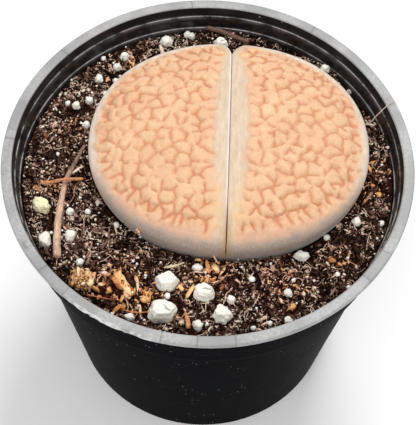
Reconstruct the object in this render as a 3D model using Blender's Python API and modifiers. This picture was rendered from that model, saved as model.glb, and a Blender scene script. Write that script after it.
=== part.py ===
"""Potted lithops: a split-leaved living stone growing in gritty compost in a small nursery pot.

Blender 4.5, metres, +Z up.  The pot's axis is the Z axis and it stands on the XY plane.
The plant's fissure runs along Y.
"""
import math

import bmesh
import bpy
from mathutils import Matrix, Vector, noise

MM = 0.001
GAP = 0.3 * MM                      # clearance between pieces that rest on each other
COLLECTION = "potted_lithops"

# --- pot: a 2.5 inch round nursery pot ---------------------------------------------------
RIM_RADIUS = 32.5 * MM
RIM_WIDTH = 1.4 * MM                # flat top of the lip
LIP_THICKNESS = 1.0 * MM
POT_HEIGHT = 53.4 * MM
COLLAR_TOP_RADIUS = 31.2 * MM
COLLAR_FOOT_RADIUS = 30.3 * MM
COLLAR_DEPTH = 10.5 * MM
BODY_TOP_RADIUS = 29.3 * MM
BASE_RADIUS = 23.9 * MM
WALL = 0.8 * MM
RING_1 = (30.6 * MM, 2.0 * MM)      # inner step lines: radius, depth below the rim
RING_2 = (30.1 * MM, 4.4 * MM)
RING_LEDGE = 0.2 * MM
FOOT_RING_WIDTH = 3.0 * MM
FOOT_RING_HEIGHT = 1.2 * MM
FLOOR_TOP = 2.2 * MM
DRAIN_COUNT = 4
DRAIN_RADIUS = 2.7 * MM
DRAIN_CIRCLE = 13.0 * MM
POT_SEGMENTS = 96

# --- plant -------------------------------------------------------------------------------
PLANT_CENTRE = (3.2 * MM, 4.0 * MM)
PLANT_HALF_WIDTH = 22.5 * MM
PLANT_HALF_LENGTH = 20.0 * MM       # along the fissure
WIDEST_DEPTH = 1.8 * MM             # below the rim
CROWN = 4.8 * MM                    # face centre above the widest level
BODY_DEPTH = 24.0 * MM              # leaves below the widest level
BODY_FOOT = 0.25                    # share of the half width left at the foot
BODY_TAPER = 1.6
FACE_POINTS = 9
SIDE_POINTS = 10
FACE_POWER = 2.8
CROWN_POWER = 1.8
FISSURE = 0.3 * MM
NOTCH_WIDTH = 3.4 * MM              # where the two leaves round apart at the fissure's ends
NOTCH_LENGTH = 2.4 * MM
NOTCH_POINTS = 6
ROOT_TOP_RADIUS = 3.6 * MM
ROOT_TIP_RADIUS = 0.7 * MM
ROOT_LENGTH = 16.0 * MM
PLANT_SEGMENTS = 72

# --- growing mix -------------------------------------------------------------------------
SOIL_DEPTH = 5.0 * MM               # mean level below the rim
SOIL_SEGMENTS = 96
SOIL_RINGS = 20
SOIL_EDGE_DEPTH = 7.5 * MM          # the wall's radius at this depth sets the mix's edge
RELIEF = ((6.5 * MM, 0.55 * MM), (2.4 * MM, 0.25 * MM))     # wavelength, height
MOUNDS = (                          # x, y, radius, height in mm
    (2.5, 26.2, 3.5, 1.8),
    (19.1, 21.5, 2.0, 1.2),
    (23.5, -16.0, 3.0, -1.8),
    (24.0, 16.0, 3.5, -1.8),
    (-2.0, -22.0, 7.0, 0.3),
)
BEDDING = 0.36                      # share of a grain's height that lies in the mix

# x, y, width, depth, height in mm from the pot's axis, at the mix's surface
PERLITE = (
    (-8.0, 27.1, 2.6, 2.1, 1.9),
    (-3.8, 28.4, 1.4, 1.3, 1.3),
    (1.4, 25.7, 2.7, 2.1, 2.4),
    (-14.9, 23.2, 1.9, 1.6, 1.6),
    (-16.1, 21.2, 1.7, 1.5, 1.5),
    (-19.0, 18.4, 1.6, 1.6, 1.6),
    (-20.2, 13.7, 1.4, 1.3, 1.3),
    (-22.3, 12.6, 1.5, 1.5, 1.4),
    (-20.3, 8.8, 1.4, 1.4, 1.4),
    (-26.0, -6.9, 3.2, 3.0, 2.4),
    (-21.4, -7.9, 1.4, 1.4, 1.3),
    (-25.0, -13.1, 2.2, 2.9, 2.2),
    (-21.0, -12.4, 2.0, 2.0, 1.7),
    (-19.1, -17.0, 1.4, 1.3, 1.2),
    (-1.0, -17.3, 1.8, 1.2, 1.4),
    (-5.5, -19.9, 3.9, 3.1, 2.9),
    (-5.9, -25.0, 4.6, 3.6, 3.2),
    (0.2, -21.5, 3.3, 2.9, 2.5),
    (-10.9, -26.2, 1.8, 1.2, 1.2),
    (-0.6, -27.1, 1.7, 2.0, 1.6),
    (3.1, -25.1, 3.4, 3.0, 2.5),
    (4.3, -22.5, 1.4, 1.3, 1.3),
    (19.1, 21.3, 1.8, 1.6, 1.6),
    (15.0, -14.3, 2.7, 1.5, 1.8),
    (23.7, -7.8, 1.7, 1.4, 1.4),
    (12.9, -20.9, 1.4, 1.5, 1.3),
    (13.0, -25.6, 1.4, 1.3, 1.2),
)
GRAIN_ROUGHNESS = 0.16

# flat and lumpy bits: name, x, y, length, width, height in mm, heading in degrees
CHIPS = (
    ("bark_chip", -12.2, -20.5, 5.6, 1.6, 1.3, -52.0),
    ("bark_lump", -18.6, -20.0, 4.6, 3.6, 2.4, 20.0),
    ("bark_tan", -8.7, -22.5, 2.2, 1.8, 1.4, 70.0),
    ("husk_small", 13.3, -23.4, 1.7, 1.3, 1.1, 35.0),
    ("straw_upright", -10.0, -20.4, 0.7, 2.4, 1.0, 4.0),
    ("straw_pale", -9.3, -25.0, 0.6, 2.2, 0.9, 4.0),
)

# lying stems: name, radius in mm, points as x, y, height above the mix in mm
STEMS = (
    ("twig_long", 0.50, ((-20.1, 4.3, 0.6), (-21.3, 1.3, 0.4), (-22.5, -2.3, 0.35),
                         (-23.0, -6.1, 0.35), (-23.1, -11.6, 0.4), (-22.6, -16.6, 0.3))),
    ("twig_cross", 0.26, ((-26.6, -3.1, 0.3), (-24.6, -3.0, 0.7), (-22.6, -2.9, 1.5),
                          (-21.2, -2.4, 0.9), (-19.8, -1.9, 0.4))),
    ("twig_back", 0.40, ((-1.3, 28.8, 2.0), (0.9, 28.2, 1.3), (3.4, 27.3, 0.5),
                         (6.2, 26.5, 0.4))),
    ("husk_curved", 0.32, ((-6.2, -17.4, 0.2), (-5.0, -17.3, 0.4), (-3.6, -16.9, 0.4),
                           (-3.0, -16.6, 0.5))),
    ("twig_orange", 0.34, ((-2.6, -24.9, 0.1), (-2.1, -26.3, 0.2), (-2.0, -27.8, 0.2))),
)

COLOURS = {                         # base colour, roughness
    "pot_plastic": ((0.020, 0.021, 0.023, 1.0), 0.42),
    "compost": ((0.050, 0.030, 0.021, 1.0), 0.95),
    "leaf_skin": ((0.84, 0.60, 0.40, 1.0), 0.50),
    "root_wood": ((0.30, 0.20, 0.12, 1.0), 0.85),
    "perlite": ((0.90, 0.88, 0.82, 1.0), 0.85),
    "bark": ((0.52, 0.25, 0.11, 1.0), 0.80),
    "twig_wood": ((0.50, 0.30, 0.21, 1.0), 0.75),
}


def clear_scene():
    for obj in list(bpy.data.objects):
        bpy.data.objects.remove(obj, do_unlink=True)


def new_collection(name, hidden=False):
    collection = bpy.data.collections.new(name)
    bpy.context.scene.collection.children.link(collection)
    collection.hide_render = hidden
    return collection


def material(name):
    found = bpy.data.materials.get(name)
    if found:
        return found
    colour, roughness = COLOURS[name]
    mat = bpy.data.materials.new(name)
    mat.use_nodes = True
    shader = mat.node_tree.nodes["Principled BSDF"]
    shader.inputs["Base Color"].default_value = colour
    shader.inputs["Roughness"].default_value = roughness
    shader.inputs["Metallic"].default_value = 0.0
    return mat


def add_object(name, data, collection, material_name=None):
    obj = bpy.data.objects.new(name, data)
    collection.objects.link(obj)
    if material_name:
        data.materials.append(material(material_name))
    return obj


def as_cutter(obj):
    obj.hide_render = True
    obj.display_type = "WIRE"
    return obj


def evaluated_mesh(obj):
    depsgraph = bpy.context.evaluated_depsgraph_get()
    return bpy.data.meshes.new_from_object(obj.evaluated_get(depsgraph))


def to_mesh_object(obj, collection, material_name=None):
    """Swap an object with modifiers, or a curve, for the plain mesh that it makes."""
    mesh = evaluated_mesh(obj)
    mesh.materials.clear()
    bm = bmesh.new()
    bm.from_mesh(mesh)
    bmesh.ops.remove_doubles(bm, verts=bm.verts, dist=0.001 * MM)
    bmesh.ops.recalc_face_normals(bm, faces=bm.faces)
    bm.to_mesh(mesh)
    bm.free()
    name = obj.name
    matrix = obj.matrix_world.copy()
    bpy.data.objects.remove(obj, do_unlink=True)
    result = add_object(name, mesh, collection, material_name)
    result.matrix_world = matrix
    return result


def turned(name, profile, collection, segments, material_name=None):
    """Turn a profile of (radius, z) points, listed down its outer side, about the Z axis."""
    mesh = bpy.data.meshes.new(name)
    points = [(radius, 0.0, z) for radius, z in profile]
    on_axis = profile[0][0] == 0.0 and profile[-1][0] == 0.0
    edges = [(i, i + 1) for i in range(len(points) - 1)]
    if not on_axis:
        edges.append((len(points) - 1, 0))
    mesh.from_pydata(points, edges, [])
    obj = add_object(name, mesh, collection, material_name)
    screw = obj.modifiers.new("turn", "SCREW")
    screw.steps = segments
    screw.render_steps = segments
    screw.use_merge_vertices = True
    screw.merge_threshold = 0.005 * MM
    screw.use_normal_calculate = True
    return obj


def cut(obj, operand, operation="DIFFERENCE"):
    boolean = obj.modifiers.new("cut", "BOOLEAN")
    boolean.solver = "EXACT"
    boolean.operation = operation
    boolean.object = operand
    return boolean


# --- pot ---------------------------------------------------------------------------------
def pot_wall_radius(depth):
    """Inner radius of the pot at a depth below the rim."""
    if depth < RING_1[1]:
        return RING_1[0]
    if depth < RING_2[1]:
        return RING_2[0]
    if depth < COLLAR_DEPTH:
        share = (depth - RING_2[1]) / (COLLAR_DEPTH - RING_2[1])
        top = RING_2[0] - RING_LEDGE
        return top + share * (BODY_TOP_RADIUS - top)
    share = (depth - COLLAR_DEPTH) / (POT_HEIGHT - COLLAR_DEPTH)
    return BODY_TOP_RADIUS + share * (BASE_RADIUS - BODY_TOP_RADIUS) - WALL


def pot_profile():
    top = POT_HEIGHT
    edge = 0.2 * MM
    outer = [
        (RIM_RADIUS - edge, top),
        (RIM_RADIUS, top - edge),
        (RIM_RADIUS, top - LIP_THICKNESS + edge),
        (RIM_RADIUS - edge, top - LIP_THICKNESS),
        (COLLAR_TOP_RADIUS, top - LIP_THICKNESS - edge),
        (COLLAR_FOOT_RADIUS, top - COLLAR_DEPTH + edge),
        (COLLAR_FOOT_RADIUS - edge, top - COLLAR_DEPTH),
        (BODY_TOP_RADIUS, top - COLLAR_DEPTH - edge),
        (BASE_RADIUS + edge, 3.0 * edge),
        (BASE_RADIUS - 2.0 * edge, 0.0),
    ]
    under = [
        (BASE_RADIUS - FOOT_RING_WIDTH, 0.0),
        (BASE_RADIUS - FOOT_RING_WIDTH - edge, FOOT_RING_HEIGHT),
        (0.0, FOOT_RING_HEIGHT),
    ]
    inner = [
        (0.0, FLOOR_TOP),
        (pot_wall_radius(POT_HEIGHT - FLOOR_TOP) - edge, FLOOR_TOP),
        (pot_wall_radius(POT_HEIGHT - FLOOR_TOP - edge), FLOOR_TOP + edge),
        (pot_wall_radius(COLLAR_DEPTH + edge), top - COLLAR_DEPTH - edge),
        (BODY_TOP_RADIUS, top - COLLAR_DEPTH + edge),
        (RING_2[0] - RING_LEDGE, top - RING_2[1]),
        (RING_2[0], top - RING_2[1] + edge / 2.0),
        (RING_1[0] - RING_LEDGE, top - RING_1[1]),
        (RING_1[0], top - RING_1[1] + edge / 2.0),
        (RIM_RADIUS - RIM_WIDTH - 1.5 * edge, top - 2.0 * edge),
        (RIM_RADIUS - RIM_WIDTH, top),
    ]
    return outer, under, inner


def build_pot(parts, cutters):
    outer, under, inner = pot_profile()
    # the floor's middle lies on the axis, so the profile starts and ends there
    profile = inner + outer + under
    pot = turned("pot", profile, parts, POT_SEGMENTS, "pot_plastic")
    drains = build_drains(cutters)
    cut(pot, drains)
    return pot


def build_drains(cutters):
    bm = bmesh.new()
    for index in range(DRAIN_COUNT):
        angle = 2.0 * math.pi * (index + 0.5) / DRAIN_COUNT
        spot = Vector((DRAIN_CIRCLE * math.cos(angle), DRAIN_CIRCLE * math.sin(angle), FLOOR_TOP))
        bmesh.ops.create_cone(bm, cap_ends=True, segments=24, radius1=DRAIN_RADIUS,
                              radius2=DRAIN_RADIUS, depth=3.0 * FLOOR_TOP,
                              matrix=Matrix.Translation(spot))
    mesh = bpy.data.meshes.new("drain_cutter")
    bm.to_mesh(mesh)
    bm.free()
    return as_cutter(add_object("drain_cutter", mesh, cutters))


# --- plant -------------------------------------------------------------------------------
def widest_z():
    return POT_HEIGHT - WIDEST_DEPTH


def body_share(below):
    """Share of the half width that the leaves keep at a depth below their widest level."""
    return 1.0 - (1.0 - BODY_FOOT) * (below / BODY_DEPTH) ** BODY_TAPER


def side_profile(grow=0.0):
    """The leaves' side from their widest level to their foot."""
    profile = []
    for i in range(SIDE_POINTS + 1):
        below = BODY_DEPTH * i / SIDE_POINTS
        profile.append((body_share(below) * PLANT_HALF_WIDTH + grow, widest_z() - below))
    return profile


def leaf_profile():
    profile = [(0.0, widest_z() + CROWN)]
    for i in range(1, FACE_POINTS):
        share = math.sin(0.5 * math.pi * i / FACE_POINTS)
        rise = (1.0 - share ** FACE_POWER) ** (1.0 / CROWN_POWER)
        profile.append((share * PLANT_HALF_WIDTH, widest_z() + CROWN * rise))
    return profile + side_profile() + [(0.0, widest_z() - BODY_DEPTH)]


def root_profile(grow=0.0):
    top = widest_z() - BODY_DEPTH - GAP
    return [
        (0.0, top),
        (ROOT_TOP_RADIUS + grow, top),
        (0.6 * ROOT_TOP_RADIUS + grow, top - 0.3 * ROOT_LENGTH),
        (ROOT_TIP_RADIUS + grow, top - ROOT_LENGTH),
        (0.0, top - ROOT_LENGTH - ROOT_TIP_RADIUS - grow),
    ]


def place_plant(obj):
    """Squash a turned shape to the plant's oval and stand it on the plant's own axis."""
    oval = PLANT_HALF_LENGTH / PLANT_HALF_WIDTH
    obj.matrix_world = (Matrix.Translation((*PLANT_CENTRE, 0.0))
                        @ Matrix.Diagonal((1.0, oval, 1.0, 1.0)))
    return obj


def leaf_block_outline(side):
    """Plan outline of the block that keeps one leaf: straight fissure, ends rounded apart."""
    reach = 2.0 * PLANT_HALF_WIDTH
    half = PLANT_HALF_LENGTH
    quarter = [0.5 * math.pi * i / NOTCH_POINTS for i in range(NOTCH_POINTS + 1)]
    back = [(FISSURE / 2.0 + NOTCH_WIDTH * (1.0 - math.cos(a)),
             half - NOTCH_LENGTH * (1.0 - math.sin(a))) for a in quarter]
    front = [(x, -y) for x, y in reversed(back)]
    ends = [(reach, half + NOTCH_LENGTH / 4.0), (reach, -half - NOTCH_LENGTH / 4.0)]
    outline = back + ends + front
    return [(side * x, y) for x, y in outline]


def leaf_block(name, side, cutters):
    curve = bpy.data.curves.new(name, "CURVE")
    curve.dimensions = "2D"
    curve.fill_mode = "BOTH"
    curve.extrude = BODY_DEPTH + CROWN
    curve.resolution_u = 1
    curve.render_resolution_u = 0
    outline = leaf_block_outline(side)
    spline = curve.splines.new("POLY")
    spline.points.add(len(outline) - 1)
    for point, (x, y) in zip(spline.points, outline):
        point.co = (x, y, 0.0, 1.0)
    spline.use_cyclic_u = True
    block = add_object(name, curve, cutters)
    block.matrix_world = Matrix.Translation((*PLANT_CENTRE, widest_z()))
    bpy.context.view_layer.update()
    return as_cutter(to_mesh_object(block, cutters))


def build_leaf(name, side, parts, cutters):
    leaf = turned(name, leaf_profile(), parts, PLANT_SEGMENTS)
    bpy.context.view_layer.update()
    leaf = place_plant(to_mesh_object(leaf, parts, "leaf_skin"))
    cut(leaf, leaf_block(name + "_block", side, cutters), "INTERSECT")
    return leaf


def build_taproot(parts):
    root = turned("taproot", root_profile(), parts, 20)
    bpy.context.view_layer.update()
    return place_plant(to_mesh_object(root, parts, "root_wood"))


def plant_socket(cutters):
    """The hole that the plant fills in the mix: its leaves and root, one gap larger."""
    above = POT_HEIGHT + CROWN
    side = side_profile(grow=GAP)
    foot_radius, foot_z = side.pop()
    profile = [(0.0, above), (PLANT_HALF_WIDTH + GAP, above)]
    profile += side + [(foot_radius, foot_z - GAP)] + root_profile(grow=GAP)[1:]
    socket = turned("plant_socket", profile, cutters, PLANT_SEGMENTS)
    bpy.context.view_layer.update()
    return as_cutter(place_plant(to_mesh_object(socket, cutters)))


# --- growing mix -------------------------------------------------------------------------
def soil_z(x, y):
    """Height of the mix's surface at a place in the pot."""
    z = POT_HEIGHT - SOIL_DEPTH
    for wavelength, height in RELIEF:
        z += height * noise.noise(Vector((x / wavelength, y / wavelength, 0.5)))
    for mound_x, mound_y, radius, height in MOUNDS:
        away = math.hypot(x / MM - mound_x, y / MM - mound_y) / radius
        z += height * MM * math.exp(-away * away)
    return z


def soil_profile():
    """The mix before its surface is roughened: a flat face, then the pot's inside."""
    top = POT_HEIGHT - SOIL_DEPTH
    edge = pot_wall_radius(SOIL_EDGE_DEPTH) - GAP
    shoulder = COLLAR_DEPTH - GAP
    foot = POT_HEIGHT - FLOOR_TOP - GAP
    face = [(edge * i / SOIL_RINGS, top) for i in range(SOIL_RINGS + 1)]
    side = [
        (edge, POT_HEIGHT - SOIL_EDGE_DEPTH),
        (pot_wall_radius(COLLAR_DEPTH) - GAP, POT_HEIGHT - shoulder),
        (pot_wall_radius(foot) - GAP, POT_HEIGHT - foot),
    ]
    return face + side + [(0.0, FLOOR_TOP + GAP)]


def build_soil(parts, plant_cutter, bit_cutters):
    soil = turned("growing_mix", soil_profile(), parts, SOIL_SEGMENTS)
    bpy.context.view_layer.update()
    soil = to_mesh_object(soil, parts, "compost")
    flat = POT_HEIGHT - SOIL_DEPTH
    for vertex in soil.data.vertices:
        if abs(vertex.co.z - flat) < 0.01 * MM:
            vertex.co.z = soil_z(vertex.co.x, vertex.co.y)
    cut(soil, plant_cutter)
    bits = cut(soil, None)
    bits.operand_type = "COLLECTION"
    bits.collection = bit_cutters
    bits.use_self = True
    return soil


# --- bits on the mix ---------------------------------------------------------------------
def grain_mesh(name, size, seed, grow=0.0):
    """A rough lump inside a box of the given size."""
    bm = bmesh.new()
    bmesh.ops.create_icosphere(bm, subdivisions=2, radius=0.5)
    for vertex in bm.verts:
        shift = noise.noise(vertex.co * 2.6 + Vector((seed * 3.1, seed * 1.7, seed * 0.9)))
        vertex.co *= 1.0 + GRAIN_ROUGHNESS * shift
    scale = [side + 2.0 * grow for side in size]
    bmesh.ops.scale(bm, vec=scale, verts=bm.verts)
    mesh = bpy.data.meshes.new(name)
    bm.to_mesh(mesh)
    bm.free()
    return mesh


def bed_lump(name, x, y, size, heading, seed, parts, cutters, material_name):
    """Place one lump on the mix, with the socket that it lies in."""
    z = soil_z(x, y) + (0.5 - BEDDING) * size[2]
    matrix = Matrix.Translation((x, y, z)) @ Matrix.Rotation(heading, 4, "Z")
    lump = add_object(name, grain_mesh(name, size, seed), parts, material_name)
    lump.matrix_world = matrix
    socket = add_object(name + "_socket", grain_mesh(name + "_socket", size, seed, GAP), cutters)
    as_cutter(socket).matrix_world = matrix
    return lump


def build_perlite(parts, cutters):
    for index, (x, y, width, depth, height) in enumerate(PERLITE, start=1):
        size = (width * MM, depth * MM, height * MM)
        bed_lump(f"perlite_{index:02d}", x * MM, y * MM, size, 0.0, index,
                 parts, cutters, "perlite")


def build_chips(parts, cutters):
    for index, (name, x, y, length, width, height, heading) in enumerate(CHIPS, start=40):
        size = (length * MM, width * MM, height * MM)
        bed_lump(name, x * MM, y * MM, size, math.radians(heading), index,
                 parts, cutters, "bark")


def stem_curve(name, points, radius, collection):
    curve = bpy.data.curves.new(name, "CURVE")
    curve.dimensions = "3D"
    curve.bevel_depth = radius
    curve.bevel_resolution = 2
    curve.use_fill_caps = True
    curve.render_resolution_u = 0
    spline = curve.splines.new("POLY")
    spline.points.add(len(points) - 1)
    for point, co in zip(spline.points, points):
        point.co = (*co, 1.0)
    return add_object(name, curve, collection)


def lengthened(points):
    """The same route, one gap longer at both ends."""
    first, second = Vector(points[0]), Vector(points[1])
    last, before = Vector(points[-1]), Vector(points[-2])
    start = first + GAP * (first - second).normalized()
    end = last + GAP * (last - before).normalized()
    return [start, *points[1:-1], end]


def build_stems(parts, cutters):
    for name, radius, route in STEMS:
        points = [(x * MM, y * MM, soil_z(x * MM, y * MM) + up * MM) for x, y, up in route]
        stem = stem_curve(name, points, radius * MM, parts)
        socket = stem_curve(name + "_socket", lengthened(points), radius * MM + GAP, cutters)
        bpy.context.view_layer.update()
        to_mesh_object(stem, parts, "twig_wood")
        as_cutter(to_mesh_object(socket, cutters))


def main():
    clear_scene()
    parts = new_collection(COLLECTION)
    cutters = new_collection("cutters", hidden=True)
    bit_cutters = new_collection("bit_cutters", hidden=True)
    build_pot(parts, cutters)
    build_leaf("leaf_left", -1.0, parts, cutters)
    build_leaf("leaf_right", 1.0, parts, cutters)
    build_taproot(parts)
    build_perlite(parts, bit_cutters)
    build_chips(parts, bit_cutters)
    build_stems(parts, bit_cutters)
    build_soil(parts, plant_socket(cutters), bit_cutters)


main()
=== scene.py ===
"""Potted lithops: the looks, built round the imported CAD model. Blender 4.5.

Shapes are worked out in millimetres in the shared frame (pot on the XY plane, its axis on Z,
the fissure along Y) and become metres where a mesh is made.
"""

import itertools
import math

import bmesh
import bpy
import numpy as np
from mathutils import Matrix, Vector, noise


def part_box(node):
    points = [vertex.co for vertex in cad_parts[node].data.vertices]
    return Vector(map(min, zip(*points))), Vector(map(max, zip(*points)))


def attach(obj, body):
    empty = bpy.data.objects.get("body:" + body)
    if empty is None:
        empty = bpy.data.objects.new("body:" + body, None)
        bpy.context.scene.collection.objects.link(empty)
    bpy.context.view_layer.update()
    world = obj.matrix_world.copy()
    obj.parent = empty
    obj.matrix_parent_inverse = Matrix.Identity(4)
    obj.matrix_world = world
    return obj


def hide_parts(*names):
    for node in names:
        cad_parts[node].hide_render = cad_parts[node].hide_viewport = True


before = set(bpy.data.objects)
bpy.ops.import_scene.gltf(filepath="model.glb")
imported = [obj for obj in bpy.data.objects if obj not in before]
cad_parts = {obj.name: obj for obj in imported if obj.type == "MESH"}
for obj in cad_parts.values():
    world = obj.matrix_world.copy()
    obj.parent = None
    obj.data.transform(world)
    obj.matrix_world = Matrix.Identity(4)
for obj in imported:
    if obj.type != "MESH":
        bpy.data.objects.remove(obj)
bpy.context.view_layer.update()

MM = 0.001
BODY = "root"
UP = np.array((0.0, 0.0, 1.0))
FULL_TURN = 2.0 * math.pi


def box_mm(node):
    """Lowest and highest corner of a CAD node in millimetres."""
    low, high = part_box(node)
    return np.array(low) / MM, np.array(high) / MM


# --- sizes in mm, the CAD model's own ---
RIM_RADIUS, _, RIM_Z = box_mm("pot")[1]
RIM_WIDTH = 1.4
LIP_THICKNESS = 1.0
COLLAR_TOP_RADIUS = 31.2
COLLAR_FOOT_RADIUS = 30.3
COLLAR_DEPTH = 10.5
BODY_TOP_RADIUS = 29.3
BASE_RADIUS = 23.9
WALL = 0.8
RING_1_RADIUS, RING_1_DEPTH = 30.6, 2.0
RING_2_RADIUS, RING_2_DEPTH = 30.1, 4.4
RING_LEDGE = 0.2
FOOT_RING_WIDTH = 3.0
FOOT_RING_HEIGHT = 1.2
FLOOR_TOP = 2.2
DRAIN_COUNT = 4
DRAIN_RADIUS = 2.7
DRAIN_CIRCLE = 13.0

LEFT_LOW, LEFT_HIGH = box_mm("leaf_left")
RIGHT_LOW, RIGHT_HIGH = box_mm("leaf_right")
PLANT_X = 0.5 * (LEFT_HIGH[0] + RIGHT_LOW[0])
PLANT_Y = 0.5 * (LEFT_LOW[1] + LEFT_HIGH[1])
HALF_WIDTH = RIGHT_HIGH[0] - PLANT_X
HALF_LENGTH = 20.0
WIDEST_Z = RIM_Z - 1.8
CROWN = RIGHT_HIGH[2] - WIDEST_Z
LEAF_FOOT_Z = RIGHT_LOW[2]
BODY_FOOT = 0.25            # share of its plan that the plant keeps at its foot
BODY_TAPER = 1.6
FACE_POWER = 2.8
CROWN_POWER = 1.8

SOIL_DEPTH = 5.0
SOIL_Z = RIM_Z - SOIL_DEPTH
SOIL_EDGE_DEPTH = 7.5
RELIEF = ((6.5, 0.55), (2.4, 0.25))     # wavelength, height
MOUNDS = (                  # x, y, radius, height
    (2.5, 26.2, 3.5, 1.8), (19.1, 21.5, 2.0, 1.2), (23.5, -16.0, 3.0, -1.8),
    (24.0, 16.0, 3.5, -1.8), (-2.0, -22.0, 7.0, 0.3), (30.2, 6.5, 5.5, 2.3),
)
GAP = 0.3                   # between the mix and the pot


# --- noise and small maths ---
def xyz(x, y, z=0.0):
    """Points from coordinates that are arrays or single numbers."""
    return np.stack(np.broadcast_arrays(x, y, z), axis=-1)


def polar(radius, turn, z):
    """Points at a radius from the pot's axis."""
    return xyz(radius * np.cos(turn), radius * np.sin(turn), z)


def direction(turn, rise):
    """Unit vectors at a turn from +X and a rise above the ground."""
    return xyz(np.cos(turn) * np.cos(rise), np.sin(turn) * np.cos(rise), np.sin(rise))


def unit(vectors):
    return vectors / np.linalg.norm(vectors, axis=-1, keepdims=True)


def smooth(low, high, values):
    """0 below low, 1 above high and a smooth step between; low may be above high."""
    t = np.clip((values - low) / (high - low), 0.0, 1.0)
    return t * t * (3.0 - 2.0 * t)


def hump(values, middle, width):
    """A bell of height 1."""
    return np.exp(-((values - middle) / width) ** 2)


def hill(x, y, hill_x, hill_y, radius):
    """A round hill of height 1."""
    return np.exp(-((x - hill_x) ** 2 + (y - hill_y) ** 2) / radius ** 2)


class Noise:
    """Smooth gradient noise from about -1 to 1 over points in mm, the same at every run."""

    TABLE = 512
    GAIN = 1.5

    def __init__(self, seed):
        rng = np.random.default_rng(seed)
        self.slopes = unit(rng.normal(size=(self.TABLE, 3)))
        self.order = rng.permutation(self.TABLE)
        self.shift = rng.uniform(50.0, 90.0, 3)

    def __call__(self, points, wavelength):
        scaled = points / wavelength + self.shift
        cell = np.floor(scaled).astype(int)
        part = scaled - cell
        fade = part ** 3 * (part * (6.0 * part - 15.0) + 10.0)
        total = np.zeros(len(points))
        for corner in itertools.product((0, 1), repeat=3):
            index = np.zeros(len(points), int)
            weight = np.ones(len(points))
            for axis, step in enumerate(corner):
                index = self.order[(index + cell[:, axis] + step) % self.TABLE]
                weight = weight * (fade[:, axis] if step else 1.0 - fade[:, axis])
            total += weight * np.einsum("ij,ij->i", self.slopes[index], part - corner)
        return self.GAIN * total

    def layered(self, points, *layers):
        """A sum of (wavelength, height) layers."""
        return sum(height * self(points, wavelength) for wavelength, height in layers)


# --- meshes ---
def placed(name, data):
    """A new object in the scene."""
    made = bpy.data.objects.new(name, data)
    bpy.context.scene.collection.objects.link(made)
    return made


def signed_volume(points, faces):
    """Volume inside closed faces; negative if they face inwards."""
    first = points[faces[:, 0]]
    return sum(np.einsum("ij,ij->", first, np.cross(points[second], points[third]))
               for second, third in zip(faces.T[1:], faces.T[2:]))


def new_piece(name, slot, replaced, material, points, face_sets, values):
    """A smooth-shaded mesh piece from points in mm and arrays of quads and triangles.

    values holds a number for each point under each attribute's name.
    """
    if sum(signed_volume(points, faces) for faces in face_sets) < 0.0:
        face_sets = [faces[:, ::-1] for faces in face_sets]
    mesh = bpy.data.meshes.new(name)
    all_faces = [face for faces in face_sets for face in faces.tolist()]
    mesh.from_pydata((points * MM).tolist(), [], all_faces)
    mesh.shade_smooth()
    for key, data in values.items():
        layer = mesh.attributes.new(key, "FLOAT", "POINT")
        layer.data.foreach_set("value", np.asarray(data, np.float32))
    mesh.materials.append(material)
    piece = placed(name, mesh)
    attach(piece, BODY)
    if replaced:
        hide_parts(replaced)
    return piece


def band_faces(rings, around):
    """Quads between neighbouring closed rings of points stored ring after ring."""
    start = np.arange(rings - 1)[:, None] * around
    here = np.arange(around)[None, :]
    after = (here + 1) % around
    quads = [start + here, start + after, start + after + around, start + here + around]
    return np.stack(quads, axis=-1).reshape(-1, 4)


def cap_faces(ring_start, around, centre):
    """Triangles from a closed ring to a centre point."""
    here = np.arange(around)
    return xyz(ring_start + (here + 1) % around, ring_start + here, centre)


def closed_loft(rings):
    """Points and faces of a solid through closed rings (k, n, 3), its ends capped."""
    count, around, _ = rings.shape
    points = rings.reshape(-1, 3)
    first = len(points)
    ends = np.stack([rings[0].mean(axis=0), rings[-1].mean(axis=0)])
    top = cap_faces(0, around, first)
    foot = cap_faces((count - 1) * around, around, first + 1)[:, ::-1]
    return np.concatenate([points, ends]), [band_faces(count, around), np.concatenate([top, foot])]


def ball(subdivisions):
    """Unit icosphere as points and triangles."""
    bm = bmesh.new()
    bmesh.ops.create_icosphere(bm, subdivisions=subdivisions, radius=1.0)
    points = np.array([v.co for v in bm.verts])
    faces = np.array([[v.index for v in f.verts] for f in bm.faces])
    bm.free()
    return points, faces


def tubes(lines, radii, sides, squash=1.0):
    """Closed tubes along centre lines (n, k, 3) with radii (n, k): points and faces."""
    count, rings, _ = lines.shape
    along = unit(np.gradient(lines, axis=1))
    across = np.cross(along, UP)
    across /= np.maximum(np.linalg.norm(across, axis=2, keepdims=True), 1e-6)
    lift = np.cross(across, along) * squash
    turn = FULL_TURN * np.arange(sides) / sides
    offset = (across[:, :, None, :] * np.cos(turn)[:, None]
              + lift[:, :, None, :] * np.sin(turn)[:, None])
    points = (lines[:, :, None, :] + radii[:, :, None, None] * offset).reshape(-1, 3)
    starts = np.arange(count) * rings * sides
    quads = (band_faces(rings, sides)[None] + starts[:, None, None]).reshape(-1, 4)
    caps = []
    for i, start in enumerate(starts):
        last_ring = start + (rings - 1) * sides
        caps.append(cap_faces(start, sides, len(points) + i))
        caps.append(cap_faces(last_ring, sides, len(points) + count + i)[:, ::-1])
    return np.concatenate([points, lines[:, 0], lines[:, -1]]), [quads, np.concatenate(caps)]


def filling(points, low, high):
    """Points stretched to fill a box."""
    bottom, top = points.min(axis=0), points.max(axis=0)
    return (points - 0.5 * (bottom + top)) / (top - bottom) * (high - low) + 0.5 * (low + high)


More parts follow.
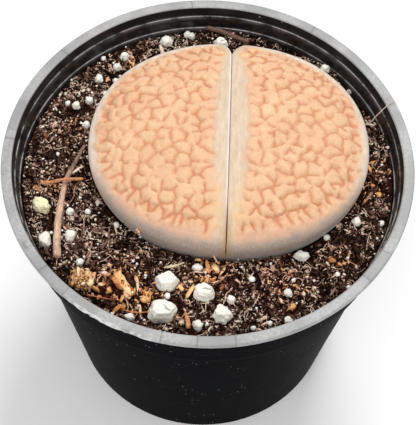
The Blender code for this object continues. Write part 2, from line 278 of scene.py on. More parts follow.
def strewn(name, slot, replaced, material, shapes, faces, picks, turns, sizes, places, values):
    """A piece made of turned, sized and placed copies of the template shapes (s, m, 3).

    values holds a number for each copy under each attribute's name.  A replaced CAD node's box
    is filled.
    """
    local = shapes[picks] * sizes[:, None, :]
    points = np.einsum("nij,nmj->nmi", turns, local) + places[:, None, :]
    points = points.reshape(-1, 3)
    if replaced:
        points = filling(points, *box_mm(replaced))
    each = shapes.shape[1]
    all_faces = (faces[None] + (np.arange(len(picks)) * each)[:, None, None]).reshape(-1, 3)
    new_piece(name, slot, replaced, material, points, [all_faces],
              {key: np.repeat(data, each) for key, data in values.items()})


def random_turns(rng, count):
    """Random rotation matrices."""
    w, x, y, z = unit(rng.normal(size=(count, 4))).T
    rows = [
        [1 - 2 * (y * y + z * z), 2 * (x * y - z * w), 2 * (x * z + y * w)],
        [2 * (x * y + z * w), 1 - 2 * (x * x + z * z), 2 * (y * z - x * w)],
        [2 * (x * z - y * w), 2 * (y * z + x * w), 1 - 2 * (x * x + y * y)],
    ]
    return np.moveaxis(np.array(rows), 2, 0)


def spin(angles, a, b):
    """Rotation matrices that turn axis a towards axis b."""
    made = np.tile(np.eye(3), (len(angles), 1, 1))
    made[:, a, a] = made[:, b, b] = np.cos(angles)
    made[:, b, a] = np.sin(angles)
    made[:, a, b] = -made[:, b, a]
    return made


def flat_turns(rng, count, tilt, swing=0.0):
    """Random headings, or ones within a swing, with a random tilt; both in radians."""
    heading = rng.normal(0.0, swing, count) if swing else rng.uniform(0.0, FULL_TURN, count)
    lean, roll = rng.normal(0.0, tilt, (2, count))
    return spin(heading, 0, 1) @ spin(lean, 0, 2) @ spin(roll, 1, 2)


# --- materials ---
def rgba(colour):
    """A colour, or a shade of grey, with its alpha."""
    return (*np.broadcast_to(colour, 3), 1.0)


class Shader:
    """One material's node tree, with a short call for each kind of node used here."""

    def __init__(self, name, roughness, **settings):
        self.material = bpy.data.materials.new(name)
        self.material.use_nodes = True
        self.tree = self.material.node_tree
        self.surface = self.tree.nodes["Principled BSDF"].inputs
        settings["Roughness"] = roughness
        for socket, value in settings.items():
            self.surface[socket.replace("_", " ")].default_value = value
        place = self.node("ShaderNodeTexCoord", "Object", {})
        self.place = self.stretched(place, (1.0 / MM,) * 3)     # in mm
        self.base = None

    def node(self, kind, output, inputs, **settings):
        """Adds a node, feeds its inputs and gives one of its outputs."""
        made = self.tree.nodes.new(kind)
        for key, value in settings.items():
            setattr(made, key, value)
        for socket, value in inputs.items():
            self.feed(made.inputs[socket], value)
        return made.outputs[output]

    def feed(self, socket, value):
        if isinstance(value, bpy.types.NodeSocket):
            self.tree.links.new(value, socket)
        else:
            socket.default_value = rgba(value) if socket.type == "RGBA" else value

    def stretched(self, place, factors):
        return self.node("ShaderNodeVectorMath", "Vector", {0: place, 1: factors},
                         operation="MULTIPLY")

    def maths(self, operation, a, b, clamp=False):
        return self.node("ShaderNodeMath", "Value", {0: a, 1: b}, operation=operation,
                         use_clamp=clamp)

    def times(self, a, b):
        return self.maths("MULTIPLY", a, b)

    def noise(self, wavelength, detail=2.0, roughness=0.5, stretch=None, distortion=0.0):
        """Noise with features about a wavelength in mm apart."""
        place = self.stretched(self.place, stretch) if stretch else self.place
        return self.node("ShaderNodeTexNoise", "Fac", {
            "Vector": place, "Scale": 1.0 / wavelength, "Detail": detail,
            "Roughness": roughness, "Distortion": distortion})

    def spread(self, value, low, high):
        """Maps low..high to 0..1, clamped, with a smooth step."""
        return self.node("ShaderNodeMapRange", "Result",
                         {"Value": value, "From Min": low, "From Max": high},
                         interpolation_type="SMOOTHSTEP")

    def patches(self, low, high, *noise_settings):
        """Patches where noise goes from low to high."""
        return self.spread(self.noise(*noise_settings), low, high)

    def spots(self, wavelength, size):
        """Small round specks: 1 inside, 0 outside, in a quarter of the cells."""
        cell = self.node("ShaderNodeTexVoronoi", "Color",
                         {"Vector": self.place, "Scale": 1.0 / wavelength})
        pick = self.node("ShaderNodeSeparateColor", "Red", {"Color": cell})
        reach = self.times(self.spread(pick, 0.75, 1.0), size)
        near = self.maths("SUBTRACT", reach, cell.node.outputs["Distance"])
        return self.maths("MULTIPLY", near, 14.0, clamp=True)

    def attribute(self, name):
        return self.node("ShaderNodeAttribute", "Fac", {}, attribute_name=name)

    def height(self):
        """Height above the ground in mm."""
        return self.node("ShaderNodeSeparateXYZ", "Z", {"Vector": self.place})

    def ramp(self, value, *stops):
        """Colours from (position, colour) stops."""
        output = self.node("ShaderNodeValToRGB", "Color", {"Fac": value})
        elements = output.node.color_ramp.elements
        while len(elements) < len(stops):
            elements.new(1.0)
        for element, (position, colour) in zip(elements, stops):
            element.position = position
            element.color = rgba(colour)
        return output

    def between(self, value, dark, light, low=0.3, high=0.7):
        """A ramp from dark to light."""
        return self.ramp(value, (low, dark), (high, light))

    def toned(self, grain, strength, stops):
        """Colours by each bit's own tone, which a grain shifts."""
        shift = self.times(self.maths("SUBTRACT", grain, 0.5), strength)
        return self.ramp(self.maths("ADD", self.attribute("tone"), shift, clamp=True), *stops)

    def mix(self, factor, a, b, blend="MIX"):
        return self.node("ShaderNodeMix", 2, {"Factor": factor, 6: a, 7: b}, data_type="RGBA",
                         blend_type=blend)

    def paint(self, mask, colour, strength=1.0):
        """Lays a colour on the base by a mask: a socket or an attribute's name."""
        if isinstance(mask, str):
            mask = self.attribute(mask)
        if strength != 1.0:
            mask = self.times(mask, strength)
        self.base = self.mix(mask, self.base, colour)

    def done(self, rough, *bumps):
        """The material, with its base, a roughness (value, low, high) and bumps (height, mm)."""
        self.feed(self.surface["Base Color"], self.base)
        if rough:
            ends = dict(zip(("Value", "To Min", "To Max"), rough))
            self.feed(self.surface["Roughness"], self.node("ShaderNodeMapRange", "Result", ends))
        before = {}
        for height, depth in bumps:
            inputs = {"Distance": depth * MM, "Height": height, **before}
            before["Normal"] = self.node("ShaderNodeBump", "Normal", inputs)
            self.feed(self.surface["Normal"], before["Normal"])
        return self.material


def inner_plastic_material():
    """Black satin plastic of the pot's inside, with painted highlights along its ledges and peat
    specks.
    """
    s = Shader("plastic_inside", 0.32, Specular_IOR_Level=0.42)
    s.base = s.between(s.noise(7.0, 4.0, 0.6), 0.006, (0.014, 0.013, 0.012))
    smear = s.patches(0.55, 0.8, 2.0, 4.0, 0.65, (1.0, 1.0, 0.4))
    s.paint(smear, (0.060, 0.055, 0.052), 0.22)
    low = s.spread(s.height(), SOIL_Z + 4.5, SOIL_Z + 0.3)
    s.paint(s.times(low, s.patches(0.42, 0.68, 1.2, 4.0, 0.7)), (0.14, 0.090, 0.068), 0.35)
    film = s.patches(0.36, 0.66, 1.7, 4.0, 0.7, (1.0, 1.0, 0.5))
    s.paint(s.times(s.attribute("dusty"), film), (0.15, 0.085, 0.060), 0.25)
    s.paint(s.spots(1.3, 0.12), (0.55, 0.52, 0.48))
    s.paint(s.spots(0.8, 0.16), (0.12, 0.07, 0.04))
    # painted highlight: broken light lines along the ring ledges stand in for their glints
    painted_ledge_glint = s.times(s.attribute("edge"), s.patches(0.35, 0.6, 3.5, 4.0, 0.7))
    s.paint(painted_ledge_glint, (0.55, 0.54, 0.53), 0.9)
    return s.done((smear, 0.28, 0.5), (s.noise(0.6), 0.02), (s.noise(4.0), 0.06))


def outer_plastic_material():
    """The same plastic outside, dull and nearly black, with scuffs and fine dust."""
    s = Shader("plastic_outside", 0.5, Specular_IOR_Level=0.004)
    cloud = s.noise(9.0, 4.0, 0.6)
    s.base = s.between(cloud, (0.0010, 0.0013, 0.0020), (0.0030, 0.0034, 0.0042))
    s.paint(s.patches(0.60, 0.80, 1.6, 4.0, 0.7, (0.5, 0.5, 2.4)), (0.036, 0.038, 0.042), 0.4)
    s.paint(s.times(s.spots(0.55, 0.20), s.patches(0.44, 0.60, 7.0, 3.0)), 0.46)
    s.paint(s.spots(2.2, 0.07), (0.50, 0.50, 0.48), 0.7)
    return s.done((cloud, 0.36, 0.50), (s.noise(0.5), 0.012), (s.noise(5.0), 0.05))


def lip_material():
    """The lip: the same plastic, painted grey for the sheen of light on it, with its moulding
    marks.
    """
    s = Shader("plastic_lip", 0.42, Specular_IOR_Level=0.45)
    grain = s.noise(0.35, 4.0, 0.7)
    # painted sheen: the lip's grey stands in for the light the black plastic reflects there
    s.base = s.between(grain, (0.29, 0.29, 0.285), (0.49, 0.49, 0.48))
    s.paint(s.patches(0.60, 0.75, 0.9, 4.0, 0.75), 0.14, 0.45)
    s.paint(s.patches(0.4, 0.65, 6.0, 3.0), 0.25, 0.6)
    s.paint("patch", 0.26, 0.5)
    s.paint(s.spots(0.9, 0.12), (0.75, 0.74, 0.70))
    # the ragged flash on the outer edge: paler plastic, with a painted highlight along it
    s.paint("pale_flash_and_highlight", (0.80, 0.80, 0.79), 0.8)
    # dark moulding seams, and painted shade in the dent on the lip
    s.paint("seam", 0.04, 0.6)
    return s.done((grain, 0.36, 0.55), (grain, 0.015), (s.noise(3.0), 0.04))


def leaf_material():
    """Matt waxy skin: peach islands, salmon grooves, pale margins and a grey-mauve side."""
    s = Shader("leaf_skin_waxy", 0.5, Specular_IOR_Level=0.35, Sheen_Weight=0.35,
               Sheen_Roughness=0.30, Subsurface_Weight=0.10, Subsurface_Scale=0.0010,
               Subsurface_Radius=(1.0, 0.45, 0.25))
    glow = (0.95, 0.70, 0.46)
    face = s.ramp(s.noise(5.5, 3.0, 0.55), (0.32, (0.675, 0.340, 0.180)),
                  (0.52, (0.715, 0.390, 0.207)), (0.72, (0.755, 0.450, 0.252)))
    island = s.spread(s.attribute("island"), 0.10, 0.65)
    # painted shade: darker where the islands fall away into the valleys between them
    s.base = s.mix(island, s.mix(1.0, face, (0.95, 0.84, 0.77), "MULTIPLY"), face)
    # painted highlight on the island tops
    s.paint(island, glow, 0.20)
    s.paint(s.patches(0.45, 0.8, 0.6, 3.0, 0.6), glow, 0.25)
    grain = s.noise(0.24, 3.0, 0.7)
    # painted highlight: fine paler grain on the island tops
    s.paint(s.times(s.spread(grain, 0.50, 0.72), island), (1.0, 0.84, 0.62), 0.34)
    s.paint(s.spread(grain, 0.46, 0.30), (0.62, 0.31, 0.17), 0.22)
    s.paint("groove", (0.60, 0.25, 0.14))
    streaks = s.noise(0.5, 4.0, 0.65, (1.0, 0.22, 1.0))
    s.paint("margin", s.between(streaks, (0.80, 0.65, 0.51), (0.93, 0.82, 0.70)))
    s.paint("band", s.between(streaks, (0.58, 0.44, 0.31), (0.74, 0.58, 0.43)))
    s.paint("amber", (0.86, 0.55, 0.24), 0.6)
    speckle = s.noise(0.16, 3.0, 0.8)
    # grey-mauve skin, laid only on the front, where it is also painted shade on the side facing
    # away from the key light
    s.paint("mauve", s.ramp(speckle, (0.3, (0.29, 0.225, 0.185)), (0.5, (0.42, 0.335, 0.280)),
                            (0.7, (0.64, 0.540, 0.460))))
    cloud = s.noise(2.2, 4.0, 0.6)
    s.paint("side", s.between(cloud, (0.30, 0.235, 0.195), (0.44, 0.36, 0.31)))
    # darker towards the soil: soil stain, and painted shade where the leaf meets the mix
    wet = s.maths("ADD", s.height(), s.times(cloud, 1.4))
    s.paint(s.spread(wet, SOIL_Z + 2.4, SOIL_Z - 0.2), (0.11, 0.070, 0.048), 0.8)
    s.paint("ridge", (0.95, 0.91, 0.88))
    # painted shade in the fissure between the leaves
    s.paint("fissure", (0.48, 0.34, 0.35))
    s.paint("tan", (0.44, 0.27, 0.10))
    return s.done((s.noise(1.5), 0.42, 0.6), (speckle, 0.025), (s.noise(0.9, 3.0, 0.6), 0.05))


TONES = (                   # peat from wet black to dry straw
    (0.00, (0.003, 0.001, 0.001)), (0.22, (0.028, 0.012, 0.007)), (0.42, (0.13, 0.076, 0.055)),
    (0.62, (0.30, 0.195, 0.145)), (0.80, (0.55, 0.41, 0.32)), (1.00, (0.91, 0.78, 0.62)),
)
ORANGES = (                 # torn bark from its dark cracks to its dry edges
    (0.00, (0.055, 0.018, 0.008)), (0.24, (0.38, 0.12, 0.032)), (0.50, (0.85, 0.39, 0.12)),
    (1.00, (1.00, 0.71, 0.38)),
)
FLUFFS = (                  # the same for bark that is torn to fluff
    (0.00, (0.040, 0.016, 0.008)), (0.26, (0.32, 0.12, 0.035)), (0.52, (0.84, 0.42, 0.145)),
    (0.92, (1.00, 0.82, 0.52)),
)


def peat_material():
    """Peat whose tone, from black to straw, and warmth come from each bit's own values."""
    s = Shader("peat", 0.6, Specular_IOR_Level=0.04)
    speckle = s.noise(0.22, 4.0, 0.75)
    s.base = s.toned(speckle, 0.9, TONES)
    s.paint("warm", s.mix(1.0, s.base, (1.35, 0.62, 0.32), "MULTIPLY"))
    return s.done((speckle, 0.25, 0.6), (s.noise(0.12, 3.0, 0.7), 0.04),
                  (s.noise(0.4, 3.0, 0.7), 0.10))


def bark_material(name, stops):
    """Torn bark whose splinters each have a tone from their own value."""
    s = Shader(name, 0.55, Specular_IOR_Level=0.3)
    grain = s.noise(0.25, 4.0, 0.75, None, 0.4)
    s.base = s.toned(grain, 1.1, stops)
    return s.done((grain, 0.35, 0.75), (grain, 0.06), (s.noise(0.12, 3.0), 0.03))


def perlite_material(name, tint=(1.0, 0.95, 0.84), dirt=0.25, depth=0.4):
    """White glassy foam: fine pores, with peat stains that grow towards its foot."""
    s = Shader(name, 0.7, Specular_IOR_Level=0.3, Subsurface_Weight=depth,
               Subsurface_Scale=0.0008, Subsurface_Radius=(1.0, 0.95, 0.85))
    s.base = s.between(s.noise(0.9, 4.0, 0.65), 0.90 * np.array(tint), tint, high=0.6)
    pores = s.spots(0.40, 0.18)
    s.paint(pores, (0.42, 0.35, 0.27), 0.6)
    low = s.maths("ADD", s.times(s.attribute("foot"), 0.9), dirt, clamp=True)
    s.paint(s.times(s.patches(0.58, 0.72, 0.5, 4.0, 0.75), low), (0.30, 0.18, 0.095))
    s.paint("crack", (0.045, 0.030, 0.022))
    return s.done(None, (s.noise(0.18, 4.0, 0.75), 0.06), (pores, -0.05))


def wood_material(name, dark, light, stretch, pale=None):
    """Dry fibrous bark or stem, its grain drawn out along stretch, paler along its length."""
    s = Shader(name, 0.6, Specular_IOR_Level=0.4)
    grain = s.noise(0.3, 4.0, 0.75, stretch, 0.4)
    s.base = s.between(grain, dark, light, 0.32, 0.66)
    if pale:
        far = s.spread(s.attribute("along"), 0.12, 0.52)
        s.paint(far, s.between(grain, light, pale, 0.32, 0.66))
    s.paint(s.patches(0.52, 0.72, 0.9, 4.0, 0.7), 0.35 * np.array(dark), 0.6)
    return s.done((grain, 0.40, 0.8), (grain, 0.08), (s.noise(0.15, 3.0), 0.03))


# --- camera, light and floor ---
CAMERA_ELEVATION = 56.276       # degrees above the horizon, on the -Y side
CAMERA_DISTANCE = 189.14        # mm from the rim's centre
CAMERA_AIM = (0.305, 0.0, -16.76)       # mm from the rim's centre
CAMERA_ROLL = 2.426             # degrees
CAMERA_LENS, SENSOR = 101.65, 36.0      # mm
SKY = 0.56                      # brightness of the even white sky
FLOOR_REACH, FLOOR_GAP = 3.0, 0.0002    # metres


def towards(azimuth, elevation):
    """A direction from the pot; azimuth 0 is the +Y side and 90 the +X side."""
    return Vector(direction(math.radians(90.0 - azimuth), math.radians(elevation)))


def add_camera():
    rim = Vector((0.0, 0.0, RIM_Z)) * MM
    data = bpy.data.cameras.new("camera")
    data.lens = CAMERA_LENS
    data.sensor_width = SENSOR
    data.clip_start = 0.01
    camera = placed("camera", data)
    camera.location = rim + towards(180.0, CAMERA_ELEVATION) * CAMERA_DISTANCE * MM
    aim = rim + Vector(CAMERA_AIM) * MM - camera.location
    look = aim.to_track_quat("-Z", "Y").to_matrix().to_4x4()
    roll = Matrix.Rotation(math.radians(CAMERA_ROLL), 4, "Z")
    camera.matrix_world = Matrix.Translation(camera.location) @ look @ roll
    bpy.context.scene.camera = camera


def add_softbox(name, azimuth, elevation, distance, size, power):
    """A square soft light aimed at the rim."""
    data = bpy.data.lights.new(name, "AREA")
    data.shape = "SQUARE"
    data.size = size
    data.energy = power
    light = placed(name, data)
    out = towards(azimuth, elevation)
    light.location = out * distance + Vector((0.0, 0.0, RIM_Z * MM))
    light.rotation_euler = (-out).to_track_quat("-Z", "Y").to_euler()


def add_studio():
    world = bpy.data.worlds.new("studio")
    world.use_nodes = True
    sky = world.node_tree.nodes["Background"]
    sky.inputs["Color"].default_value = rgba(1.0)
    sky.inputs["Strength"].default_value = SKY
    bpy.context.scene.world = world
    add_softbox("key", azimuth=18.0, elevation=60.0, distance=0.60, size=0.20, power=1.9)
    add_softbox("fill", azimuth=190.0, elevation=48.0, distance=0.70, size=0.50, power=2.0)
    bpy.context.scene.view_settings.view_transform = "Standard"

    mesh = bpy.data.meshes.new("floor")
    corners = [(-1, -1, 0), (1, -1, 0), (1, 1, 0), (-1, 1, 0)]
    mesh.from_pydata([Vector(corner) * FLOOR_REACH for corner in corners], [], [(0, 1, 2, 3)])
    s = Shader("floor_white", 0.9, Specular_IOR_Level=0.0)
    s.base = 0.95
    mesh.materials.append(s.done(None))
    floor = placed("floor", mesh)
    floor.location.z = -FLOOR_GAP


# --- pot ---
POT_AROUND = 360
# angles in degrees of the moulding marks that cross the lip, and the darker stretches
SEAMS = (-139.0, -129.5, -100.5, -91.0, -81.0, -40.0, -30.0, 22.0, 58.0, 97.0, 141.0, 176.0)
DARK_STRETCHES = ((-136.5, 6.5), (-86.0, 4.5), (-35.0, 4.5), (168.0, 5.0), (77.0, 3.5))
SEAM_TURN = math.degrees(0.12 / RIM_RADIUS)     # a mark is 0.12 mm wide
BURR_ANGLE = -115.0     # where the lip's outer edge is ragged
BURR_REACH = 17.0
DENT_ANGLE = -148.0
DUSTY_ANGLE = -5.0      # the side of the inner wall where dust clings
EDGE = 0.2              # radius of the rounded edges
LIP_ROUND, LEDGE_ROUND, FOOT_ROUND = 0.3, 0.08, 0.5     # and of the others
INSIDE, LIP, OUTSIDE = 0, 1, 2      # the pot's materials


def wall_radius(depth):
    """Inner radius of the pot at a depth below the rim."""
    if depth < RING_1_DEPTH:
        return RING_1_RADIUS
    if depth < RING_2_DEPTH:
        return RING_2_RADIUS
    if depth < COLLAR_DEPTH:
        share = (depth - RING_2_DEPTH) / (COLLAR_DEPTH - RING_2_DEPTH)
        top = RING_2_RADIUS - RING_LEDGE
        return top + share * (BODY_TOP_RADIUS - top)
    share = (depth - COLLAR_DEPTH) / (RIM_Z - COLLAR_DEPTH)
    return BODY_TOP_RADIUS + share * (BASE_RADIUS - BODY_TOP_RADIUS) - WALL


def arc(radius, z, size, start, end, count):
    """Points of a quarter or less of a circle in (radius, z), angles in degrees."""
    turns = np.radians(np.linspace(start, end, count))
    return [(radius + size * math.cos(t), z + size * math.sin(t)) for t in turns]


def line(start, end, count):
    """Points between two ends, the last one left out."""
    return [tuple(p) for p in np.linspace(start, end, count, endpoint=False)]


def ledge(radius, z):
    """The rounded step of a stacking ring on the inside of the wall."""
    return [*arc(radius - RING_LEDGE, z - LEDGE_ROUND, LEDGE_ROUND, 0.0, 60.0, 3),
            (radius - LEDGE_ROUND, z + 0.02), (radius, z + 0.10)]


def pot_profile():
    """(radius, z) from the floor's middle up the inside, over the lip and down the outside.

    Also gives the material of each stretch.
    """
    foot = wall_radius(RIM_Z - FLOOR_TOP)
    ledge_1, ledge_2 = RIM_Z - RING_1_DEPTH, RIM_Z - RING_2_DEPTH
    lip_inner, lip_foot = RIM_RADIUS - RIM_WIDTH + 0.02, RIM_Z - LIP_THICKNESS
    body_top = RIM_Z - COLLAR_DEPTH
    body_inner = (BODY_TOP_RADIUS - WALL, body_top - EDGE)
    collar_inner = (BODY_TOP_RADIUS, body_top + EDGE)
    foot_outer, under = BASE_RADIUS + 0.1, BASE_RADIUS - FOOT_RING_WIDTH
    inner = [
        *line((2.0, FLOOR_TOP), (foot - EDGE, FLOOR_TOP), 12),
        *arc(foot - EDGE, FLOOR_TOP + EDGE, EDGE, -90.0, 0.0, 4),
        *line((foot, FLOOR_TOP + 2.0 * EDGE), body_inner, 12),
        *line(body_inner, collar_inner, 2),
        *line(collar_inner, (RING_2_RADIUS - RING_LEDGE + LEDGE_ROUND, ledge_2 - 0.2), 8),
        *ledge(RING_2_RADIUS, ledge_2),
        *line((RING_2_RADIUS + 0.01, ledge_2 + 0.4),
              (RING_1_RADIUS - RING_LEDGE - 0.12, ledge_1 - 0.2), 4),
        *ledge(RING_1_RADIUS, ledge_1),
        *line((RING_1_RADIUS + 0.01, ledge_1 + 0.4), (lip_inner - LIP_ROUND, RIM_Z - 0.45), 4),
    ]
    lip = [
        *arc(lip_inner, RIM_Z - LIP_ROUND, LIP_ROUND, 180.0, 90.0, 6),
        *line((lip_inner + 0.1, RIM_Z), (RIM_RADIUS - EDGE, RIM_Z), 6),
        *arc(RIM_RADIUS - EDGE, RIM_Z - EDGE, EDGE, 90.0, 0.0, 5),
    ]
    outer = [
        *arc(RIM_RADIUS - EDGE, lip_foot + EDGE, EDGE, 0.0, -90.0, 4),
        (COLLAR_TOP_RADIUS + 0.15, lip_foot), (COLLAR_TOP_RADIUS, lip_foot - 0.15),
        *line((COLLAR_TOP_RADIUS - 0.02, lip_foot - 0.5),
              (COLLAR_FOOT_RADIUS, body_top + EDGE), 10),
        *arc(COLLAR_FOOT_RADIUS - EDGE, body_top + EDGE, EDGE, 0.0, -90.0, 4),
        *line((BODY_TOP_RADIUS + 0.12, body_top - 0.02), (BODY_TOP_RADIUS, body_top - 0.2), 2),
        *line((BODY_TOP_RADIUS, body_top - 0.2), (foot_outer, FOOT_ROUND + 0.1), 24),
        *arc(foot_outer - FOOT_ROUND, FOOT_ROUND, FOOT_ROUND, 0.0, -90.0, 6),
        *line((foot_outer - 2.0 * FOOT_ROUND, 0.0), (under, 0.0), 3),
        (under, 0.0), (under - 0.08, 0.1), (under - 0.2, FOOT_RING_HEIGHT - 0.08),
        *line((under - 0.3, FOOT_RING_HEIGHT), (2.0, FOOT_RING_HEIGHT), 12),
    ]
    zones = [INSIDE] * (len(inner) + 1) + [LIP] * (len(lip) - 1) + [OUTSIDE] * len(outer)
    return np.array(inner + lip + outer), zones


def pot_angles():
    """Angles round the pot, with extra ones at the seams so that they can be cut."""
    even = np.linspace(-180.0, 180.0, POT_AROUND, endpoint=False)
    extra = [seam + k * SEAM_TURN for seam in SEAMS for k in (-1.0, 0.0, 1.0)]
    near = np.min(np.abs(even[:, None] - np.array(extra)), axis=1)
    return np.sort(np.concatenate([even[near > 0.5 * SEAM_TURN], extra]))


def build_pot():
    profile, zones = pot_profile()
    angles = pot_angles()
    turn = np.radians(angles)

    def apart(centre):
        return np.abs((angles - centre + 180.0) % 360.0 - 180.0)

    radius, z = (np.repeat(column[:, None], len(angles), axis=1) for column in profile.T)
    on_lip = smooth(RIM_Z - 0.35, RIM_Z - 0.1, z)
    outermost = smooth(RIM_RADIUS - 0.35, RIM_RADIUS - 0.1, radius)
    seam = np.max([hump(apart(angle), 0.0, 0.75 * SEAM_TURN) for angle in SEAMS], axis=0)
    patch = np.max([smooth(half + 0.15, half, apart(angle)) for angle, half in DARK_STRETCHES],
                   axis=0)
    burr = smooth(BURR_REACH, 0.5 * BURR_REACH, apart(BURR_ANGLE))
    rounded = polar(radius, turn, z).reshape(-1, 3)
    wobble = Noise(11)
    rough = wobble.layered(rounded, (1.1, 1.0), (0.45, 1.0)).reshape(radius.shape)
    slow = wobble(rounded, 18.0).reshape(radius.shape)
    radius = radius + outermost * (0.02 + 0.20 * burr) * np.minimum(rough, 0.15)
    radius = radius + 0.06 * slow * smooth(4.0, 20.0, z)
    z = z - on_lip * (0.05 * seam + 0.015 * rough * outermost)
    dent = hump(apart(DENT_ANGLE), 0.0, 1.6) * hump(radius, RIM_RADIUS - 0.4, 0.3)
    z = z - on_lip * 0.20 * dent
    points, faces = closed_loft(polar(radius, turn, z))
    masks = {
        # paler flash on the outer edge of the lip, with a painted highlight along it
        "pale_flash_and_highlight": burr * smooth(RIM_RADIUS - 0.30, RIM_RADIUS - 0.05, radius)
                 * smooth(-0.25, 0.1, rough),
        "dusty": smooth(80.0, 25.0, apart(DUSTY_ANGLE)) * smooth(RIM_Z, RIM_Z - 2.5, z),
        # painted highlight along the two ring ledges
        "edge": hump(z, RIM_Z - RING_1_DEPTH, 0.07) + hump(z, RIM_Z - RING_2_DEPTH, 0.07),
        "patch": patch,
        # the seams, and painted shade in the lip's dent
        "seam": seam + 0.7 * dent,
    }
    values = {key: np.append(np.broadcast_to(mask, radius.shape), (0.0, 0.0))
              for key, mask in masks.items()}
    pot = new_piece("pot_moulded", "pot_plastic", "pot", inner_plastic_material(), points, faces,
                    values)
    for material in (lip_material(), outer_plastic_material()):
        pot.data.materials.append(material)
    face_zones = np.repeat([*zones[:-1], INSIDE, OUTSIDE], len(angles)).astype(np.int32)
    pot.data.polygons.foreach_set("material_index", face_zones)
    cut_drains(pot)


def cut_drains(pot):
    """Drain holes through the pot's floor."""
    bm = bmesh.new()
    for index in range(DRAIN_COUNT):
        spot = Vector(polar(DRAIN_CIRCLE, FULL_TURN * (index + 0.5) / DRAIN_COUNT, FLOOR_TOP))
        bmesh.ops.create_cone(bm, cap_ends=True, segments=48, radius1=DRAIN_RADIUS * MM,
                              radius2=DRAIN_RADIUS * MM, depth=3.0 * FLOOR_TOP * MM,
                              matrix=Matrix.Translation(spot * MM))
    mesh = bpy.data.meshes.new("drain_cutter")
    bm.to_mesh(mesh)
    bm.free()
    cutter = placed("drain_cutter", mesh)
    cut = pot.modifiers.new("drains", "BOOLEAN")
    cut.solver = "EXACT"
    cut.object = cutter
    bpy.context.view_layer.update()
    evaluated = pot.evaluated_get(bpy.context.evaluated_depsgraph_get())
    made = bpy.data.meshes.new_from_object(evaluated)
    pot.modifiers.clear()
    pot.data = made
    made.set_sharp_from_angle(angle=math.radians(40.0))
    bpy.data.objects.remove(cutter)


# --- leaves ---
LEFT, RIGHT = -1.0, 1.0
PLAN_POWER = 2.14           # the plant's outline is a little squarer than an ellipse
FISSURE_HALF = 0.015
BACK_CORNER = {LEFT: (2.8, 4.4), RIGHT: (3.6, 4.5)}     # how the leaves round apart behind
FRONT_CORNER = (0.12, 0.8)
CORNER_POWER = 1.5          # 1 is a straight cut, 2 a quarter of an ellipse
FISSURE_ROUND = 0.15
LEAF_ACROSS = 220
LEAF_ALONG = 320
LEAF_SIDE_ROWS = 16
CORNER_TURN = 0.30 * math.pi     # where the grid's outer corners sit on the outline
PACKING = 0.35              # how much closer the grid's rows are at its edges
ISLAND_SPACING = 1.85       # least distance between the islands' middles
LOBE_SPACING = 1.15         # the same for the faint lobes on them
ISLAND_HEIGHT = 0.66
GROOVE_DEPTH = 0.07
GROOVE_WIDTH = 0.09
SOFTENING = 2               # rounds of averaging that round the islands off


def plan_share(x, y):
    """0 on the plant's axis, 1 on its outline."""
    total = (np.abs(x) / HALF_WIDTH) ** PLAN_POWER + (np.abs(y) / HALF_LENGTH) ** PLAN_POWER
    return total ** (1.0 / PLAN_POWER)


def from_outline(x, y):
    """Distance in from the plant's outline, measured towards its axis."""
    return np.hypot(x, y) * (1.0 / np.maximum(plan_share(x, y), 1e-3) - 1.0)


def outline(turn, share=1.0, grow=0.0):
    """Points of the plant's outline at turns from +X, or of a share of it, grown a little."""
    c, s = np.cos(turn), np.sin(turn)
    power = 2.0 / PLAN_POWER
    return np.stack([(HALF_WIDTH * share + grow) * np.sign(c) * np.abs(c) ** power,
                     (HALF_LENGTH * share + grow) * np.sign(s) * np.abs(s) ** power], axis=-1)


def body_share(z):
    """Share of its plan that a leaf keeps at a height below its widest level."""
    below = np.clip((WIDEST_Z - z) / (WIDEST_Z - LEAF_FOOT_Z), 0.0, 1.0)
    return 1.0 - (1.0 - BODY_FOOT) * below ** BODY_TAPER


def rounded_corner(y, width, length):
    """How far a leaf's inner edge draws back from the fissure near the outline."""
    t = np.clip((y - HALF_LENGTH + length) / length, 0.0, 1.0)
    return width * (1.0 - (1.0 - t ** CORNER_POWER) ** (1.0 / CORNER_POWER))


def fissure_edge(y, side):
    """x of a leaf's inner edge; the fissure is a little wider in front."""
    return (FISSURE_HALF + rounded_corner(y, *BACK_CORNER[side])
            + rounded_corner(-y, *FRONT_CORNER) + 0.05 * smooth(-13.0, -17.0, y))


def closing(y):
    """1 along the fissure, 0 at its front end, where the leaves grow together."""
    return smooth(-19.8, -19.0, y)


def margin_width(y):
    """Width of the smooth margin outside the islands, widest in front."""
    return 0.9 + 0.9 * smooth(-8.0, -17.5, y) + 0.5 * smooth(9.0, 17.0, y)


def band_width(y, side):
    """Width of the smooth band beside the fissure."""
    behind = np.clip(y / 15.0, 0.0, 1.2) ** 2
    before = np.clip(-y / 15.0, 0.0, 1.2) ** 2
    if side == RIGHT:
        return 2.9 - 1.2 * behind - 1.1 * before
    return 2.4 - 0.9 * behind - 0.5 * before


def resample(path, shares):
    """Points at shares of a path's length."""
    steps = np.linalg.norm(np.diff(path, axis=0), axis=1)
    length = np.concatenate([[0.0], np.cumsum(steps)])
    return np.stack([np.interp(shares * length[-1], length, column) for column in path.T],
                    axis=-1)


def packed(count):
    """Shares from 0 to 1 that lie closer together at both ends."""
    t = np.linspace(0.0, 1.0, count)
    return t - PACKING * np.sin(FULL_TURN * t) / FULL_TURN


